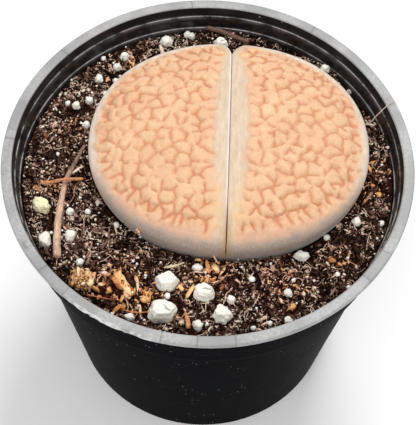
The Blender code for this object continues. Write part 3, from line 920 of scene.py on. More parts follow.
def leaf_plan(side):
    """Plan points (along, across, 2) of a leaf drawn on the +X side, fitted to its outline."""
    ends = []
    for way in (-1.0, 1.0):
        y = way * np.linspace(0.0, HALF_LENGTH, 4000)
        y_end = y[plan_share(fissure_edge(y, side), y) <= 1.0][-1]
        x_end = fissure_edge(y_end, side)
        ends.append((y_end, math.acos((x_end / HALF_WIDTH) ** (0.5 * PLAN_POWER))))
    (front_y, front_turn), (back_y, back_turn) = ends
    edge_y = np.linspace(front_y, back_y, 3000)
    across, along = packed(LEAF_ACROSS), packed(LEAF_ALONG)

    def rim(first, last, shares):
        return resample(outline(np.linspace(first, last, 2000)), shares)

    left = resample(np.stack([fissure_edge(edge_y, side), edge_y], axis=-1), along)
    right = rim(-CORNER_TURN, CORNER_TURN, along)
    front = rim(-front_turn, -CORNER_TURN, across)
    back = rim(back_turn, CORNER_TURN, across)
    u, v = across[None, :, None], along[:, None, None]
    corners = ((1 - u) * (1 - v) * left[0] + u * (1 - v) * right[0]
               + (1 - u) * v * left[-1] + u * v * right[-1])
    grid = (1 - u) * left[:, None] + u * right[:, None]
    return grid + (1 - v) * front[None] + v * back[None] - corners


def cell_layout(x, y, side):
    """How cells are drawn out across the margins, and how narrow they are there."""
    band, margin = band_width(y, side), margin_width(y)
    rim = smooth(margin + 3.4, margin + 1.5, from_outline(x, y))
    inner = smooth(band + 1.8, band + 0.6, x - fissure_edge(y, side)) * (1.0 - rim)
    radial = np.stack([x, y], axis=-1) / np.maximum(np.hypot(x, y), 0.1)[:, None]
    stretch = radial * (0.84 * rim)[:, None] + np.array((1.0, 0.0)) * (0.70 * inner)[:, None]
    return stretch, 1.0 - 0.30 * rim - 0.18 * inner


def scattered(rng, count, spacing, side):
    """Middles of cells on a leaf, no two nearer than spacing once the cells are drawn out."""
    tried = rng.uniform((0.0, -HALF_LENGTH), (HALF_WIDTH, HALF_LENGTH), (count, 2))
    x, y = tried.T
    free = (plan_share(x, y) < 1.0) & (from_outline(x, y) > margin_width(y) + 0.35) \
        & (x > band_width(y, side) + 0.3)
    tried = tried[free]
    found = np.empty((0, 2))
    for spot, pull, share in zip(tried, *cell_layout(*tried.T, side)):
        away = found - spot
        apart = np.sum(away ** 2, axis=1) - (away @ pull) ** 2
        if not len(found) or np.min(apart) > (share * spacing) ** 2:
            found = np.vstack([found, spot])
    return found


def cell_borders(points, middles, spacing, stretch):
    """Distances of plan points to the four nearest borders between the cells of the middles.

    stretch is a direction for each point, as long as the share by which cells grow along it.
    """
    gaps = np.empty((len(points), 4))
    for start in range(0, len(points), 8000):
        part = slice(start, start + 8000)
        away = points[part, None, :] - middles[None, :, :]
        along = np.einsum("nmk,nk->nm", away, stretch[part])
        squared = np.einsum("nmk,nmk->nm", away, away) - along ** 2
        near = np.sort(np.partition(squared, 5, axis=1)[:, :5], axis=1)
        gaps[part] = (near[:, 1:] - near[:, :1]) / (2.5 * spacing)
    return gaps


def pillow(gap, reach):
    """A rounded top that falls away to its border."""
    dome = np.sin(0.5 * math.pi * np.clip(gap / reach, 0.0, 1.0)) ** 0.7
    return 0.36 * (1.0 - np.exp(-gap / 0.10)) + 0.64 * dome


def softened(grid):
    """Values on a grid, averaged with their neighbours a few times."""
    for _ in range(SOFTENING):
        wide = np.pad(grid, 1, mode="edge")
        near = wide[:-2, 1:-1] + wide[2:, 1:-1] + wide[1:-1, :-2] + wide[1:-1, 2:]
        grid = 0.5 * grid + 0.125 * near
    return grid


def leaf_texture(x, y, shape, side, seed):
    """Height of the brain-like windows above the smooth face, and their colour masks."""
    rng = np.random.default_rng(seed)
    wobble = Noise(seed)
    place = xyz(x, y)
    inward, outward = x - fissure_edge(y, side), from_outline(x, y)
    band, margin = band_width(y, side), margin_width(y)

    middles = scattered(rng, 9000, ISLAND_SPACING, side)
    lobes = scattered(rng, 12000, LOBE_SPACING, side)
    layers = ((4.5, 0.55), (2.1, 0.40), (0.9, 0.14))
    warp = np.stack([wobble.layered(place, *layers), wobble.layered(place + 31.0, *layers)],
                    axis=-1)
    stretch, _ = cell_layout(x, y, side)
    gaps = cell_borders(place[:, :2] + warp, middles, ISLAND_SPACING, stretch)
    lobe_gaps = cell_borders(place[:, :2] + 1.3 * warp, lobes, LOBE_SPACING, stretch)

    ragged = wobble(place + 7.0, 1.5)
    window = smooth(-0.7, 1.0, outward - margin + 0.45 * ragged)
    window *= smooth(-0.5, 0.9, inward - band + 0.70 * ragged)
    strong = 0.06 + 0.94 * smooth(-0.44, 0.03, wobble(place - 13.0, 1.5))[:, None]
    weak = 0.30 * smooth(-0.1, 0.6, wobble(place + 57.0, 1.6))[:, None]
    width = (GROOVE_WIDTH * (1.0 + 0.35 * wobble(place - 41.0, 1.6)))[:, None]
    groove = np.max(strong * hump(gaps, 0.0, width), axis=1)
    crease = np.max(weak * hump(lobe_gaps, 0.0, width), axis=1)
    islands = np.prod(1.0 - strong * (1.0 - pillow(gaps, 0.85)), axis=1)
    islands *= np.prod(1.0 - weak * (1.0 - pillow(lobe_gaps, 0.45)), axis=1)
    islands = softened(islands.reshape(shape)).ravel()
    ridge = 0.0 * x
    if side == LEFT:
        ridge = hump(inward, 0.16, 0.12) * smooth(-15.5, -10.5, y)
    height = ISLAND_HEIGHT * (window * islands + (1.0 - window) * 0.70 - 0.70)
    height += 0.06 * ridge - GROOVE_DEPTH * window * groove
    height += wobble.layered(place, (9.0, 0.14), (3.2, 0.07), (0.7, 0.03))
    in_front = smooth(-4.0, -14.0, y)
    amber = hump(y, -13.5, 5.0) * hump(inward, 0.8 * band, 0.9) + 0.6 * hump(y, 15.0, 3.0) \
        * hump(inward, band, 0.8)
    masks = {
        "groove": np.clip(window * np.maximum(0.85 * groove, 0.45 * crease), 0.0, 1.0),
        "island": np.clip(window * islands, 0.0, 1.0),
        "margin": smooth(1.1, -0.5, outward - margin + 0.45 * ragged) * (1.0 - 0.7 * in_front),
        "band": smooth(0.9, -0.8, inward - band + 0.70 * ragged),
        # grey-mauve on the front only: skin colour and painted shade on the front side
        "mauve": in_front * smooth(1.55, 0.2, outward + 0.4 * ragged),
        "side": 0.0 * x,
        # painted shade along the fissure, darker towards its front
        "fissure": hump(inward, 0.0, 0.10) * (0.65 + 0.3 * smooth(-12.0, -16.0, y)) * closing(y),
        "ridge": 0.8 * ridge,
        "tan": 0.7 * hump(y, -HALF_LENGTH + 1.0, 3.0) * hump(inward, 0.0, 0.7),
        "amber": np.clip(amber * (0.7 + 0.5 * ragged), 0.0, 1.0),
    }
    return height * smooth(0.0, 0.8, outward) * smooth(0.0, 0.4, inward), masks


def leaf_side(loop, side):
    """Rings from the face's outline down to the leaf's foot; in front the leaves join."""
    shares = np.linspace(0.0, 1.0, LEAF_SIDE_ROWS + 1)[1:, None] ** 1.7
    x, y, start_z = loop.T
    z = start_z + (LEAF_FOOT_Z - start_z) * shares
    keep = body_share(z)
    hinge = fissure_edge(y, side)
    joined = smooth(WIDEST_Z, WIDEST_Z - 1.3, z) * smooth(-12.0, -15.0, y)
    return xyz(hinge + (x - hinge) * keep - (hinge - 0.01) * joined, y * keep, z)


def face_height(x, y):
    """Height of the smooth face at offsets from the plant's axis."""
    share = np.clip(plan_share(x, y), 0.0, 1.0)
    return WIDEST_Z + CROWN * np.maximum(1.0 - share ** FACE_POWER, 0.0) ** (1.0 / CROWN_POWER)


def build_leaf(name, node, side, seed, material):
    grid = leaf_plan(side)
    shape = grid.shape[:2]
    x, y = grid.reshape(-1, 2).T
    dome = face_height(x, y) - WIDEST_Z
    inward = np.clip((x - fissure_edge(y, side)) / FISSURE_ROUND, 0.0, 1.0)
    rounding = FISSURE_ROUND * closing(y)
    dome -= np.minimum(rounding, 0.5 * dome) * (1.0 - np.sqrt(1.0 - (1.0 - inward) ** 2))
    texture, masks = leaf_texture(x, y, shape, side, seed)
    face = xyz(x, y, WIDEST_Z + dome + texture)
    index = np.arange(len(face)).reshape(shape)
    quads = np.stack([index[:-1, :-1], index[:-1, 1:], index[1:, 1:], index[1:, :-1]], axis=-1)
    loop = np.concatenate([index[0, :-1], index[:-1, -1], index[-1, :0:-1], index[:0:-1, 0]])
    rings = leaf_side(face[loop], side)
    first, around = len(face), len(loop)
    shell = band_faces(LEAF_SIDE_ROWS, around) + first
    here = np.arange(around)
    join = np.stack([loop, np.roll(loop, -1), first + (here + 1) % around, first + here], axis=-1)
    foot = np.append(rings[-1].mean(axis=0)[:2], LEAF_FOOT_Z)
    points = np.concatenate([face, rings.reshape(-1, 3), foot[None]])
    cap = cap_faces(first + (LEAF_SIDE_ROWS - 1) * around, around, len(points) - 1)
    low_x, low_y, low_z = points[first:].T
    inner_wall = smooth(0.3, 0.05, low_x - fissure_edge(low_y, side))
    near_front = smooth(-12.0, -16.0, low_y)
    wall = {
        "margin": np.ones_like(low_x),
        # grey-mauve on the front walls only: skin colour and painted shade on the front side
        "mauve": smooth(-2.0, -12.0, low_y),
        "side": smooth(WIDEST_Z - 0.2, WIDEST_Z - 3.0, low_z),
        # painted shade on the fissure's inner walls
        "fissure": 0.8 * inner_wall * (1.0 - near_front),
        "tan": 0.8 * near_front * hump(low_x, 0.0, 0.9) * smooth(48.5, 50.0, low_z),
    }
    values = {key: np.append(mask, wall.get(key, 0.0 * low_x)) for key, mask in masks.items()}
    points = points * np.array((side, 1.0, 1.0)) + np.array((PLANT_X, PLANT_Y, 0.0))
    sheet = np.concatenate([quads.reshape(-1, 4), join[:, ::-1], shell[:, ::-1]])
    new_piece(name, "leaf_skin", node, material, points, [sheet, cap], values)


# --- growing mix ---
MIX_AROUND = 420
MIX_RINGS = 64
MIX_REACH = wall_radius(SOIL_DEPTH)
SOIL_SHARE = body_share(SOIL_Z)
RUSTY_PLACES = (            # x, y, radius, strength of the warmer brown stretches
    (-13.0, -21.0, 4.5, 0.9), (1.5, -18.0, 3.0, 0.9), (-6.0, -22.5, 3.5, 0.6),
    (12.0, -19.0, 4.0, 0.5), (-24.0, -3.0, 3.0, 0.5), (-14.0, 20.0, 4.0, 0.5),
    (26.0, 0.0, 4.0, 0.5), (21.0, -14.0, 3.5, 0.4), (-22.0, 8.0, 3.5, 0.4),
)
CHIPS = (                   # x, y, length in mm of the chips that stand out in the photo
    (-1.9, -21.4, 2.4), (-8.5, -22.3, 2.3), (-12.2, -22.9, 2.2), (-12.8, -24.8, 1.8),
    (1.7, -17.3, 2.2), (0.6, -17.0, 1.8), (2.9, -17.8, 1.6), (-4.6, -25.8, 1.3),
    (-3.4, -20.9, 1.3), (-14.3, -21.5, 1.6), (-15.5, -20.8, 1.4),
)
# single strands: radius, tone, warmth, and points as x, y, height above the mix
STRANDS = (
    (0.07, 1.00, 0.0, ((26.1, 10.4, 0.1), (27.1, 10.7, 2.1), (28.3, 11.3, 3.6),
                       (29.6, 12.3, 4.8))),
    (0.15, 1.00, 0.1, ((25.6, 10.5, 0.3), (26.3, 10.2, 0.6), (27.1, 9.9, 0.5))),
    (0.15, 0.95, 0.3, ((1.2, -15.3, 2.0), (1.6, -15.9, 1.0), (2.2, -16.6, 0.3))),
    (0.07, 0.85, 0.7, ((21.8, -14.0, 0.3), (22.9, -14.7, 0.8), (24.2, -15.1, 0.5))),
    (0.05, 0.92, 0.3, ((13.4, -19.2, 0.3), (14.3, -18.5, 0.8), (15.1, -19.1, 0.9),
                       (14.6, -20.0, 0.4))),
    (0.05, 0.90, 0.3, ((14.8, -16.8, 0.4), (15.7, -16.2, 0.9), (16.3, -17.0, 0.8),
                       (15.8, -17.8, 0.3))),
    (0.06, 0.88, 0.4, ((18.2, -13.2, 0.3), (19.0, -12.3, 0.9), (19.7, -13.3, 0.4))),
    (0.10, 0.80, 0.9, ((-12.0, -25.0, 0.3), (-9.8, -25.5, 0.6), (-7.9, -25.0, 0.3))),
    (0.09, 0.75, 0.8, ((-6.0, -26.3, 0.3), (-4.2, -25.6, 0.7), (-2.6, -26.4, 0.3))),
    (0.11, 0.72, 0.9, ((-17.6, -22.6, 0.4), (-15.8, -23.1, 0.6), (-13.9, -23.4, 0.4))),
    (0.07, 0.85, 0.4, ((-19.5, -8.6, 0.3), (-19.0, -10.2, 0.8), (-18.9, -11.9, 0.3))),
    (0.07, 0.80, 0.5, ((-17.4, -13.5, 0.4), (-17.8, -15.6, 0.8), (-18.8, -17.2, 0.3))),
)
STRAND_RINGS = 24
FLAKE_KINDS, CLOD_KINDS = 24, 16    # how many shapes the bits are copies of
SKIN_CRUMBS = (             # x, y, size, tone, warmth of crumbs stuck to the skin
    (-10.5, -12.7, 0.42, 0.85, 0.4), (-10.2, -13.0, 0.36, 1.00, 0.3),
    (-10.6, -13.2, 0.34, 0.65, 0.7), (-10.1, -13.5, 0.26, 0.95, 0.4),
    (-12.9, -11.5, 0.22, 0.10, 0.0), (-12.6, -11.6, 0.18, 0.15, 0.0),
)
FIBRE_RADII = np.array((0.35, 0.9, 1.0, 1.0, 0.8, 0.3))     # along a fibre


def on_mix(x, y, lift):
    """Points at a height above the CAD mix's surface."""
    z = SOIL_Z + lift
    for wavelength, height in RELIEF:
        spots = xyz(x / wavelength, y / wavelength, 0.5).reshape(-1, 3)
        waves = [noise.noise(Vector(spot)) for spot in spots]
        z = z + height * np.reshape(waves, x.shape)
    for mound_x, mound_y, radius, height in MOUNDS:
        z = z + height * hill(x, y, mound_x, mound_y, radius)
    return xyz(x, y, z)


def warmth(x, y, rng):
    """How rusty the bits at a place are."""
    total = 0.35 * rng.beta(0.7, 1.8, len(x))
    for cx, cy, radius, strength in RUSTY_PLACES:
        total += strength * hill(x, y, cx, cy, radius) * rng.uniform(0.3, 1.0, len(x))
    return np.clip(total, 0.0, 1.0)


def pockets(x, y):
    """Share of their tone that bits keep: the mix has wet, nearly black pockets."""
    return 0.34 + 1.22 * smooth(-0.50, 0.28, Noise(23).layered(xyz(x, y), (3.2, 0.7), (1.3, 0.6)))


def build_bed(material):
    """The bed of the mix: crumbly top, the hole round the plant, and the pot's inner shape."""
    turn = np.linspace(0.0, FULL_TURN, MIX_AROUND, endpoint=False)
    plant = np.array((PLANT_X, PLANT_Y, 0.0))
    around_plant = np.c_[outline(turn, SOIL_SHARE, 0.15), np.zeros(MIX_AROUND)]
    start, end = plant + around_plant, polar(MIX_REACH - 0.12, turn, 0.0)
    top = start + (end - start) * np.linspace(0.0, 1.0, MIX_RINGS)[:, None, None]
    grain = Noise(21)
    rough = grain.layered(top.reshape(-1, 3), (1.3, 0.40), (0.6, 0.26), (0.3, 0.14))
    top = on_mix(top[..., 0], top[..., 1], rough.reshape(top.shape[:2]) - 0.55)
    hole = []
    for low in np.linspace(SOIL_Z - 2.0, LEAF_FOOT_Z, 8):
        hole.append(plant + around_plant * body_share(low) / SOIL_SHARE + low * UP)
    root_low, root_high = box_mm("taproot")
    for radius, low in ((3.95, root_high[2]), (2.5, root_high[2] - 4.8), (1.0, root_low[2] + 0.7)):
        hole.append(plant + polar(radius, turn, low))
    wall = [polar(wall_radius(depth) - GAP, turn, RIM_Z - depth)
            for depth in (SOIL_EDGE_DEPTH, COLLAR_DEPTH, RIM_Z - FLOOR_TOP - GAP)]
    points, faces = closed_loft(np.concatenate([hole[::-1], top, wall]))
    tone = np.clip(0.21 + 0.36 * grain(points, 0.8), 0.0, 0.6)
    warm = np.clip(0.4 + 0.5 * grain(points, 5.0), 0.0, 1.0)
    new_piece("mix_bed", "compost", "growing_mix", material, points, faces,
              {"tone": tone, "warm": warm})


def open_ground(x, y, margin):
    """True where a crumb may lie: off the plant, the grains and the pot's wall."""
    reach = np.maximum(plan_share(x - PLANT_X, y - PLANT_Y), 1e-3)
    away = np.hypot(x - PLANT_X, y - PLANT_Y) * (1.0 - SOIL_SHARE / reach)
    free = (away > 0.9 * margin) & (np.hypot(x, y) < MIX_REACH - 0.05 - margin)
    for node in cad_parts:
        if node.startswith("perlite_") or node in ("bark_chip", "bark_lump", "bark_tan"):
            low, high = box_mm(node)
            (cx, cy, _), (wide, deep, _) = 0.5 * (low + high), 0.5 * (high - low)
            reach = np.hypot((x - cx) / (wide + 0.3 * margin), (y - cy) / (deep + 0.3 * margin))
            free &= reach > 1.0
    return free


def scatter_places(rng, count, size):
    """Plan places for bits of the given sizes, spread over the open mix."""
    found = np.empty((0, 3))
    while len(found) < count:
        spots = rng.uniform(-MIX_REACH, MIX_REACH, (3 * count, 2))
        sizes = rng.choice(size, 3 * count)
        free = open_ground(*spots.T, 0.45 * sizes)
        found = np.vstack([found, np.c_[spots, sizes][free]])
    return found[:count].T


def lumpy_balls(subdivisions, seed, count, *layers):
    """Some lumpy versions of a ball, and their faces."""
    points, faces = ball(subdivisions)
    wobble = Noise(seed)
    return np.array([points * (1.0 + wobble.layered(points + 5.0 * i, *layers))[:, None]
                     for i in range(count)]), faces


def build_flakes(name, material, seed, count, median, slim, tilt, darkness):
    """Flat torn bits of peat and bark, longer than they are wide, strewn over the mix."""
    rng = np.random.default_rng(seed)
    x, y, length = scatter_places(rng, count, rng.lognormal(math.log(median), 0.45, 4000))
    wide = length * rng.uniform(slim, 3.0 * slim, count)
    thick = np.minimum(wide, length * rng.uniform(0.12, 0.4, count))
    places = on_mix(x, y, rng.uniform(-0.35, 0.30, count) - 0.10)
    tones = np.clip(rng.beta(0.70, darkness, count) * pockets(x, y), 0.0, 1.0)
    strewn(name, "compost", None, material, *lumpy_balls(1, seed + 1, FLAKE_KINDS, (0.8, 0.55)),
           rng.integers(0, FLAKE_KINDS, count), flat_turns(rng, count, tilt),
           0.5 * xyz(length, wide, thick), places, {"tone": tones, "warm": warmth(x, y, rng)})


def build_clods(material):
    """Dark clods of peat."""
    rng = np.random.default_rng(35)
    count = 190
    x, y, size = scatter_places(rng, count, rng.lognormal(-0.05, 0.35, 2000))
    sizes = 0.5 * size[:, None] * rng.uniform(0.5, 1.0, (count, 3))
    tones = 0.6 * rng.beta(1.2, 2.4, count)
    strewn("mix_clods", "compost", None, material,
           *lumpy_balls(2, 36, CLOD_KINDS, (0.9, 0.4), (0.35, 0.4), (0.18, 0.15)),
           rng.integers(0, CLOD_KINDS, count), random_turns(rng, count), sizes,
           on_mix(x, y, -0.25 * size - 0.1), {"tone": tones, "warm": warmth(x, y, rng)})


def build_chips(material):
    """Rusty chips of bark, most of them where the mix is warmest."""
    rng = np.random.default_rng(37)
    count = 130
    x, y, length = scatter_places(rng, 12 * count, rng.lognormal(-0.30, 0.35, 2000))
    best = np.argsort(-warmth(x, y, rng) * rng.uniform(0.3, 1.0, len(x)))[:count]
    x, y, length = np.c_[np.transpose(CHIPS), (x[best], y[best], length[best])]
    count = len(x)
    duller = np.where(np.arange(count) < len(CHIPS), 1.0, 0.72)
    wide = length * rng.uniform(0.25, 0.6, count)
    sizes = 0.5 * xyz(length, wide, wide * rng.uniform(0.3, 0.7, count))
    places = on_mix(x, y, rng.uniform(0.0, 0.35, count))
    strewn("mix_chips", "bark", None, material, *lumpy_balls(2, 38, FLAKE_KINDS, (0.8, 0.6)),
           rng.integers(0, FLAKE_KINDS, count), flat_turns(rng, count, 0.45), sizes, places,
           {"tone": duller * rng.beta(1.3, 1.1, count)})


def build_skin_crumbs(material):
    """Crumbs of peat that stick to the leaves."""
    rng = np.random.default_rng(45)
    x, y, size, tone, warm = np.transpose(SKIN_CRUMBS)
    strewn("leaf_crumbs", "compost", None, material, *lumpy_balls(3, 46, len(x), (0.8, 0.6)),
           np.arange(len(x)), random_turns(rng, len(x)), 0.5 * xyz(size, size, size),
           xyz(x, y, face_height(x - PLANT_X, y - PLANT_Y) + 0.2 * size),
           {"tone": tone, "warm": warm})


def fibre_lines(rng, middles, length, bend):
    """Bent centre lines that lie across the mix."""
    count = len(middles)
    heading = rng.uniform(0.0, FULL_TURN, count)
    pitch = rng.normal(0.0, 0.28, count)
    along = direction(heading, pitch)
    side = xyz(-np.sin(heading), np.cos(heading), rng.normal(0.0, 0.4, count))
    t = np.linspace(-0.5, 0.5, len(FIBRE_RADII))[None, :, None]
    bent = (2.0 * t ** 2 - 0.25) * (bend * length)[:, None, None]
    return middles[:, None] + along[:, None] * t * length[:, None, None] + side[:, None] * bent


def per_tube(values, each):
    """Values of tubes for their points: those of their rings and then of their two tips."""
    return {key: np.concatenate([np.repeat(data, each), data, data])
            for key, data in values.items()}


def build_fibres(material):
    """Short root fibres and splinters all over the mix."""
    rng = np.random.default_rng(41)
    count = 1500
    x, y, _ = scatter_places(rng, count, np.array([0.8]))
    length = np.clip(rng.lognormal(0.0, 0.5, count), 0.4, 4.0)
    middles = on_mix(x, y, rng.uniform(-0.05, 0.45, count))
    lines = fibre_lines(rng, middles, length, rng.normal(0.0, 0.35, count))
    far = np.hypot(lines[..., 0], lines[..., 1]).max(axis=1)
    inside = plan_share(lines[..., 0] - PLANT_X, lines[..., 1] - PLANT_Y).min(axis=1)
    keep = (far < MIX_REACH - 0.1) & (inside > SOIL_SHARE + 0.01)
    lines, x, y = lines[keep], x[keep], y[keep]
    radius = rng.lognormal(-2.9, 0.45, len(x))[:, None] * FIBRE_RADII
    tones = np.clip(rng.beta(1.1, 1.1, len(x)) * pockets(x, y), 0.03, 1.0)
    values = per_tube({"tone": tones, "warm": warmth(x, y, rng)}, len(FIBRE_RADII) * 4)
    new_piece("mix_fibres", "compost", None, material, *tubes(lines, radius, 4, squash=0.7),
              values)


def smooth_route(route, spacing):
    """A smooth line, resampled evenly, through points given as x, y, height above the mix."""
    points = on_mix(*np.transpose(route))
    padded = np.concatenate([[2 * points[0] - points[1]], points, [2 * points[-1] - points[-2]]])
    t = np.linspace(0.0, 1.0, 24, endpoint=False)[:, None]
    parts = []
    for a, b, c, d in zip(padded, padded[1:], padded[2:], padded[3:]):
        parts.append(0.5 * (2 * b + (c - a) * t + (2 * a - 5 * b + 4 * c - d) * t ** 2
                            + (3 * b - a - 3 * c + d) * t ** 3))
    path = np.concatenate([*parts, [points[-1]]])
    length = np.sum(np.linalg.norm(np.diff(path, axis=0), axis=1))
    return resample(path, np.linspace(0.0, 1.0, max(6, int(length / spacing))))


def build_strands(material):
    """Hairs, straws and curled root fibres that can be told apart one by one."""
    radius, tone, warm, routes = zip(*STRANDS)
    share = np.linspace(0.0, 1.0, STRAND_RINGS)
    lines = np.array([resample(smooth_route(route, 0.08), share) for route in routes])
    profile = np.interp(share, (0.0, 0.2, 0.7, 1.0), (0.5, 1.0, 0.9, 0.35))
    new_piece("mix_strands", "compost", None, material,
              *tubes(lines, np.outer(radius, profile), 8, squash=0.8),
              per_tube({"tone": tone, "warm": warm}, STRAND_RINGS * 8))


# --- grains and woody bits ---
FINE_GRAINS = (             # x, y, size in mm of grains too small for the CAD model
    (-4.5, 28.5, 1.4), (-18.5, 22.6, 1.0), (-23.7, 12.8, 1.0), (-17.5, 14.8, 1.3),
    (-24.4, 2.8, 0.8), (-18.6, -7.9, 1.1), (-24.0, -11.8, 0.6), (-5.3, -22.3, 1.1),
    (-13.5, -25.7, 0.6), (0.8, -26.9, 0.7), (23.4, 18.4, 1.1), (19.0, -10.9, 1.1),
    (20.6, -17.1, 0.9), (21.7, -16.7, 0.6), (27.7, -8.0, 1.0), (13.7, -18.6, 0.8),
    (7.4, -19.0, 1.1), (10.2, -26.2, 0.9), (7.7, -27.1, 0.9), (22.2, -19.4, 0.9),
    (-15.9, 17.6, 1.5), (-14.0, -10.1, 1.1), (5.8, -16.9, 0.6), (26.2, 15.9, 1.5),
)
SPECK_COUNT = 170
GRAIN_KINDS = 8             # how many shapes the small grains are copies of
BIG_GRAIN = 2.5             # wider grains, in mm, get a finer mesh and more pits
# heading and offset of a grain's crack, how rough some grains are, and how many flat sides
CRACKED = {"perlite_17": (0.6, 0.25), "perlite_18": (1.35, 0.1), "perlite_03": (2.2, -0.2)}
LUMPY = {"perlite_10": 0.30, "perlite_21": 0.27, "perlite_16": 0.10}
SIDES = {"perlite_16": 5, "perlite_17": 6, "perlite_12": 4, "perlite_18": 7}
# lying stems, as in the CAD model: radius, points as x, y, height above the mix
STEMS = {
    "twig_long": (0.50, ((-20.1, 4.3, 0.6), (-21.3, 1.3, 0.4), (-22.5, -2.3, 0.35),
                         (-23.0, -6.1, 0.35), (-23.1, -11.6, 0.4), (-22.6, -16.6, 0.3))),
    "twig_cross": (0.26, ((-26.6, -3.1, 0.3), (-24.6, -3.0, 0.7), (-22.6, -2.9, 1.5),
                          (-21.2, -2.4, 0.9), (-19.8, -1.9, 0.4))),
    "twig_back": (0.40, ((-1.3, 28.8, 2.0), (0.9, 28.2, 1.3), (3.4, 27.3, 0.5),
                         (6.2, 26.5, 0.4))),
    "husk_curved": (0.32, ((-6.2, -17.4, 0.2), (-5.0, -17.3, 0.4), (-3.6, -16.9, 0.4),
                           (-3.0, -16.6, 0.5))),
    "twig_orange": (0.34, ((-2.6, -24.9, 0.1), (-2.1, -26.3, 0.2), (-2.0, -27.8, 0.2))),
}
# width along a stem, as shares of its radius at even steps
STEM_WIDTHS = {
    "twig_long": (0.55, 0.62, 0.70, 0.95, 0.85, 1.0, 1.12, 1.18, 1.15, 1.2),
    "twig_cross": (1.0, 1.25, 0.85, 1.1, 0.8, 1.2, 0.9, 1.1, 0.8),
    "husk_curved": (0.35, 0.62, 0.70, 0.50, 0.35),
}
STEM_SIDES = 20
FLUFF_RADII = (0.4, 0.9, 1.0, 1.0, 0.8, 0.3)    # along a torn fibre, as FIBRE_RADII


def rock(points, size, seed, lumps, sides, pits=0):
    """A broken lump with flat sides that just fills a box of the given size."""
    rng = np.random.default_rng(seed)
    turn = FULL_TURN * (np.arange(sides) + rng.uniform(-0.22, 0.22, sides) + rng.random()) / sides
    tilt = rng.uniform(0.0, 0.75, sides)
    walls = direction(turn, tilt)
    ends = np.c_[rng.normal(0.0, 0.16, (2, 2)), (1.0, -1.0)]
    facing = points @ unit(np.vstack([walls, ends])).T
    reach = np.append(rng.uniform(0.66, 0.84, sides), (0.62, 0.7))
    flat = np.min(np.where(facing > 0.05, reach / np.maximum(facing, 0.05), 9.0), axis=1)
    radius = np.minimum(1.0, 0.72 * flat + 0.24)
    rough = Noise(seed).layered(points, (0.9, lumps), (0.4, 0.6 * lumps), (0.18, 0.3 * lumps))
    for spot in rng.normal(size=(pits, 3)):
        away = np.linalg.norm(points - unit(spot), axis=1)
        rough -= rng.uniform(0.03, 0.09) * hump(away, 0.0, rng.uniform(0.06, 0.14))
    return filling(points * (radius * (1.0 + rough))[:, None], -0.5 * size, 0.5 * size)


def build_grain(node, material):
    low, high = box_mm(node)
    size = high - low
    number = int(node[-2:])
    seed = 100 + number
    subdivisions, lumps, pits = (5, 0.17, 26) if size[0] > BIG_GRAIN else (4, 0.26, 8)
    points, faces = ball(subdivisions)
    shape = rock(points, size, seed, LUMPY.get(node, lumps), SIDES.get(node, 5 + seed % 3), pits)
    crack = np.zeros(len(points))
    if node in CRACKED:
        heading, offset = CRACKED[node]
        c, s = math.cos(heading), math.sin(heading)
        away = points @ (c, s, 0.0) - offset + 0.12 * Noise(seed + 1)(points, 0.5)
        along = points @ (-s, c, 0.0)
        crack = hump(away, 0.0, 0.06) * smooth(-0.3, 0.2, points[:, 2])
        crack *= smooth(-0.9, -0.5, along) * smooth(0.4, 0.1, along)
        shape *= (1.0 - 0.22 * crack)[:, None]
    new_piece(node + "_foam", "perlite", node, material, shape + 0.5 * (low + high), [faces],
              {"foot": smooth(0.1, -0.8, points[:, 2]), "crack": 0.9 * crack})


def build_fines(material):
    """Small grains and white dust on the mix, as one piece."""
    rng = np.random.default_rng(51)
    points, faces = ball(2)
    shapes = np.array([rock(points, np.full(3, 2.0), 60 + i, 0.16, 5 + i % 3)
                       for i in range(GRAIN_KINDS)])
    specks = scatter_places(rng, SPECK_COUNT, rng.uniform(0.18, 0.5, 500))
    x, y, size = np.c_[np.transpose(FINE_GRAINS), specks]
    count = len(x)
    sizes = 0.5 * size[:, None] * rng.uniform(0.7, 1.0, (count, 3))
    strewn("perlite_fines", "perlite", None, material, shapes, faces,
           rng.integers(0, GRAIN_KINDS, count), random_turns(rng, count), sizes,
           on_mix(x, y, 0.25 * size + 0.1),
           {"foot": np.full(count, 0.2), "crack": np.zeros(count)})


def build_stem(node, seed, material):
    radius, route = STEMS[node]
    path = smooth_route(route, 0.12)
    share = np.linspace(0.0, 1.0, len(path))
    ends = np.minimum(share, 1.0 - share) * len(path) * 0.12
    width = radius * np.sqrt(np.clip(ends / (0.6 * radius), 0.02, 1.0))
    profile = STEM_WIDTHS.get(node, (1.0, 1.0))
    width *= np.interp(share, np.linspace(0.0, 1.0, len(profile)), profile)
    wobble = Noise(seed)
    width *= 1.0 + 0.12 * wobble(path, 1.5)
    made, faces = tubes(path[None], width[None], STEM_SIDES)
    ridges = 0.12 * wobble(made * (1.0, 0.35, 1.0), 0.28) + 0.10 * wobble(made, 0.7)
    middle = np.repeat(path, STEM_SIDES, axis=0)
    shell = slice(0, len(middle))
    made[shell] = middle + (made[shell] - middle) * (1.0 + ridges[shell, None])
    new_piece(node + "_bark", "twig_wood", node, material, made, faces,
              {"along": np.append(np.repeat(share, STEM_SIDES), (0.0, 1.0))})


def lie(node):
    """The axes that a CAD node lies along, longest first, and its size along them."""
    cad = np.array([v.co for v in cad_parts[node].data.vertices]) / MM
    spread = cad - cad.mean(axis=0)
    axes = np.linalg.eigh(spread.T @ spread)[1][:, ::-1]
    if np.linalg.det(axes) < 0.0:
        axes[:, 2] *= -1.0
    return axes, np.ptp(spread @ axes, axis=0)


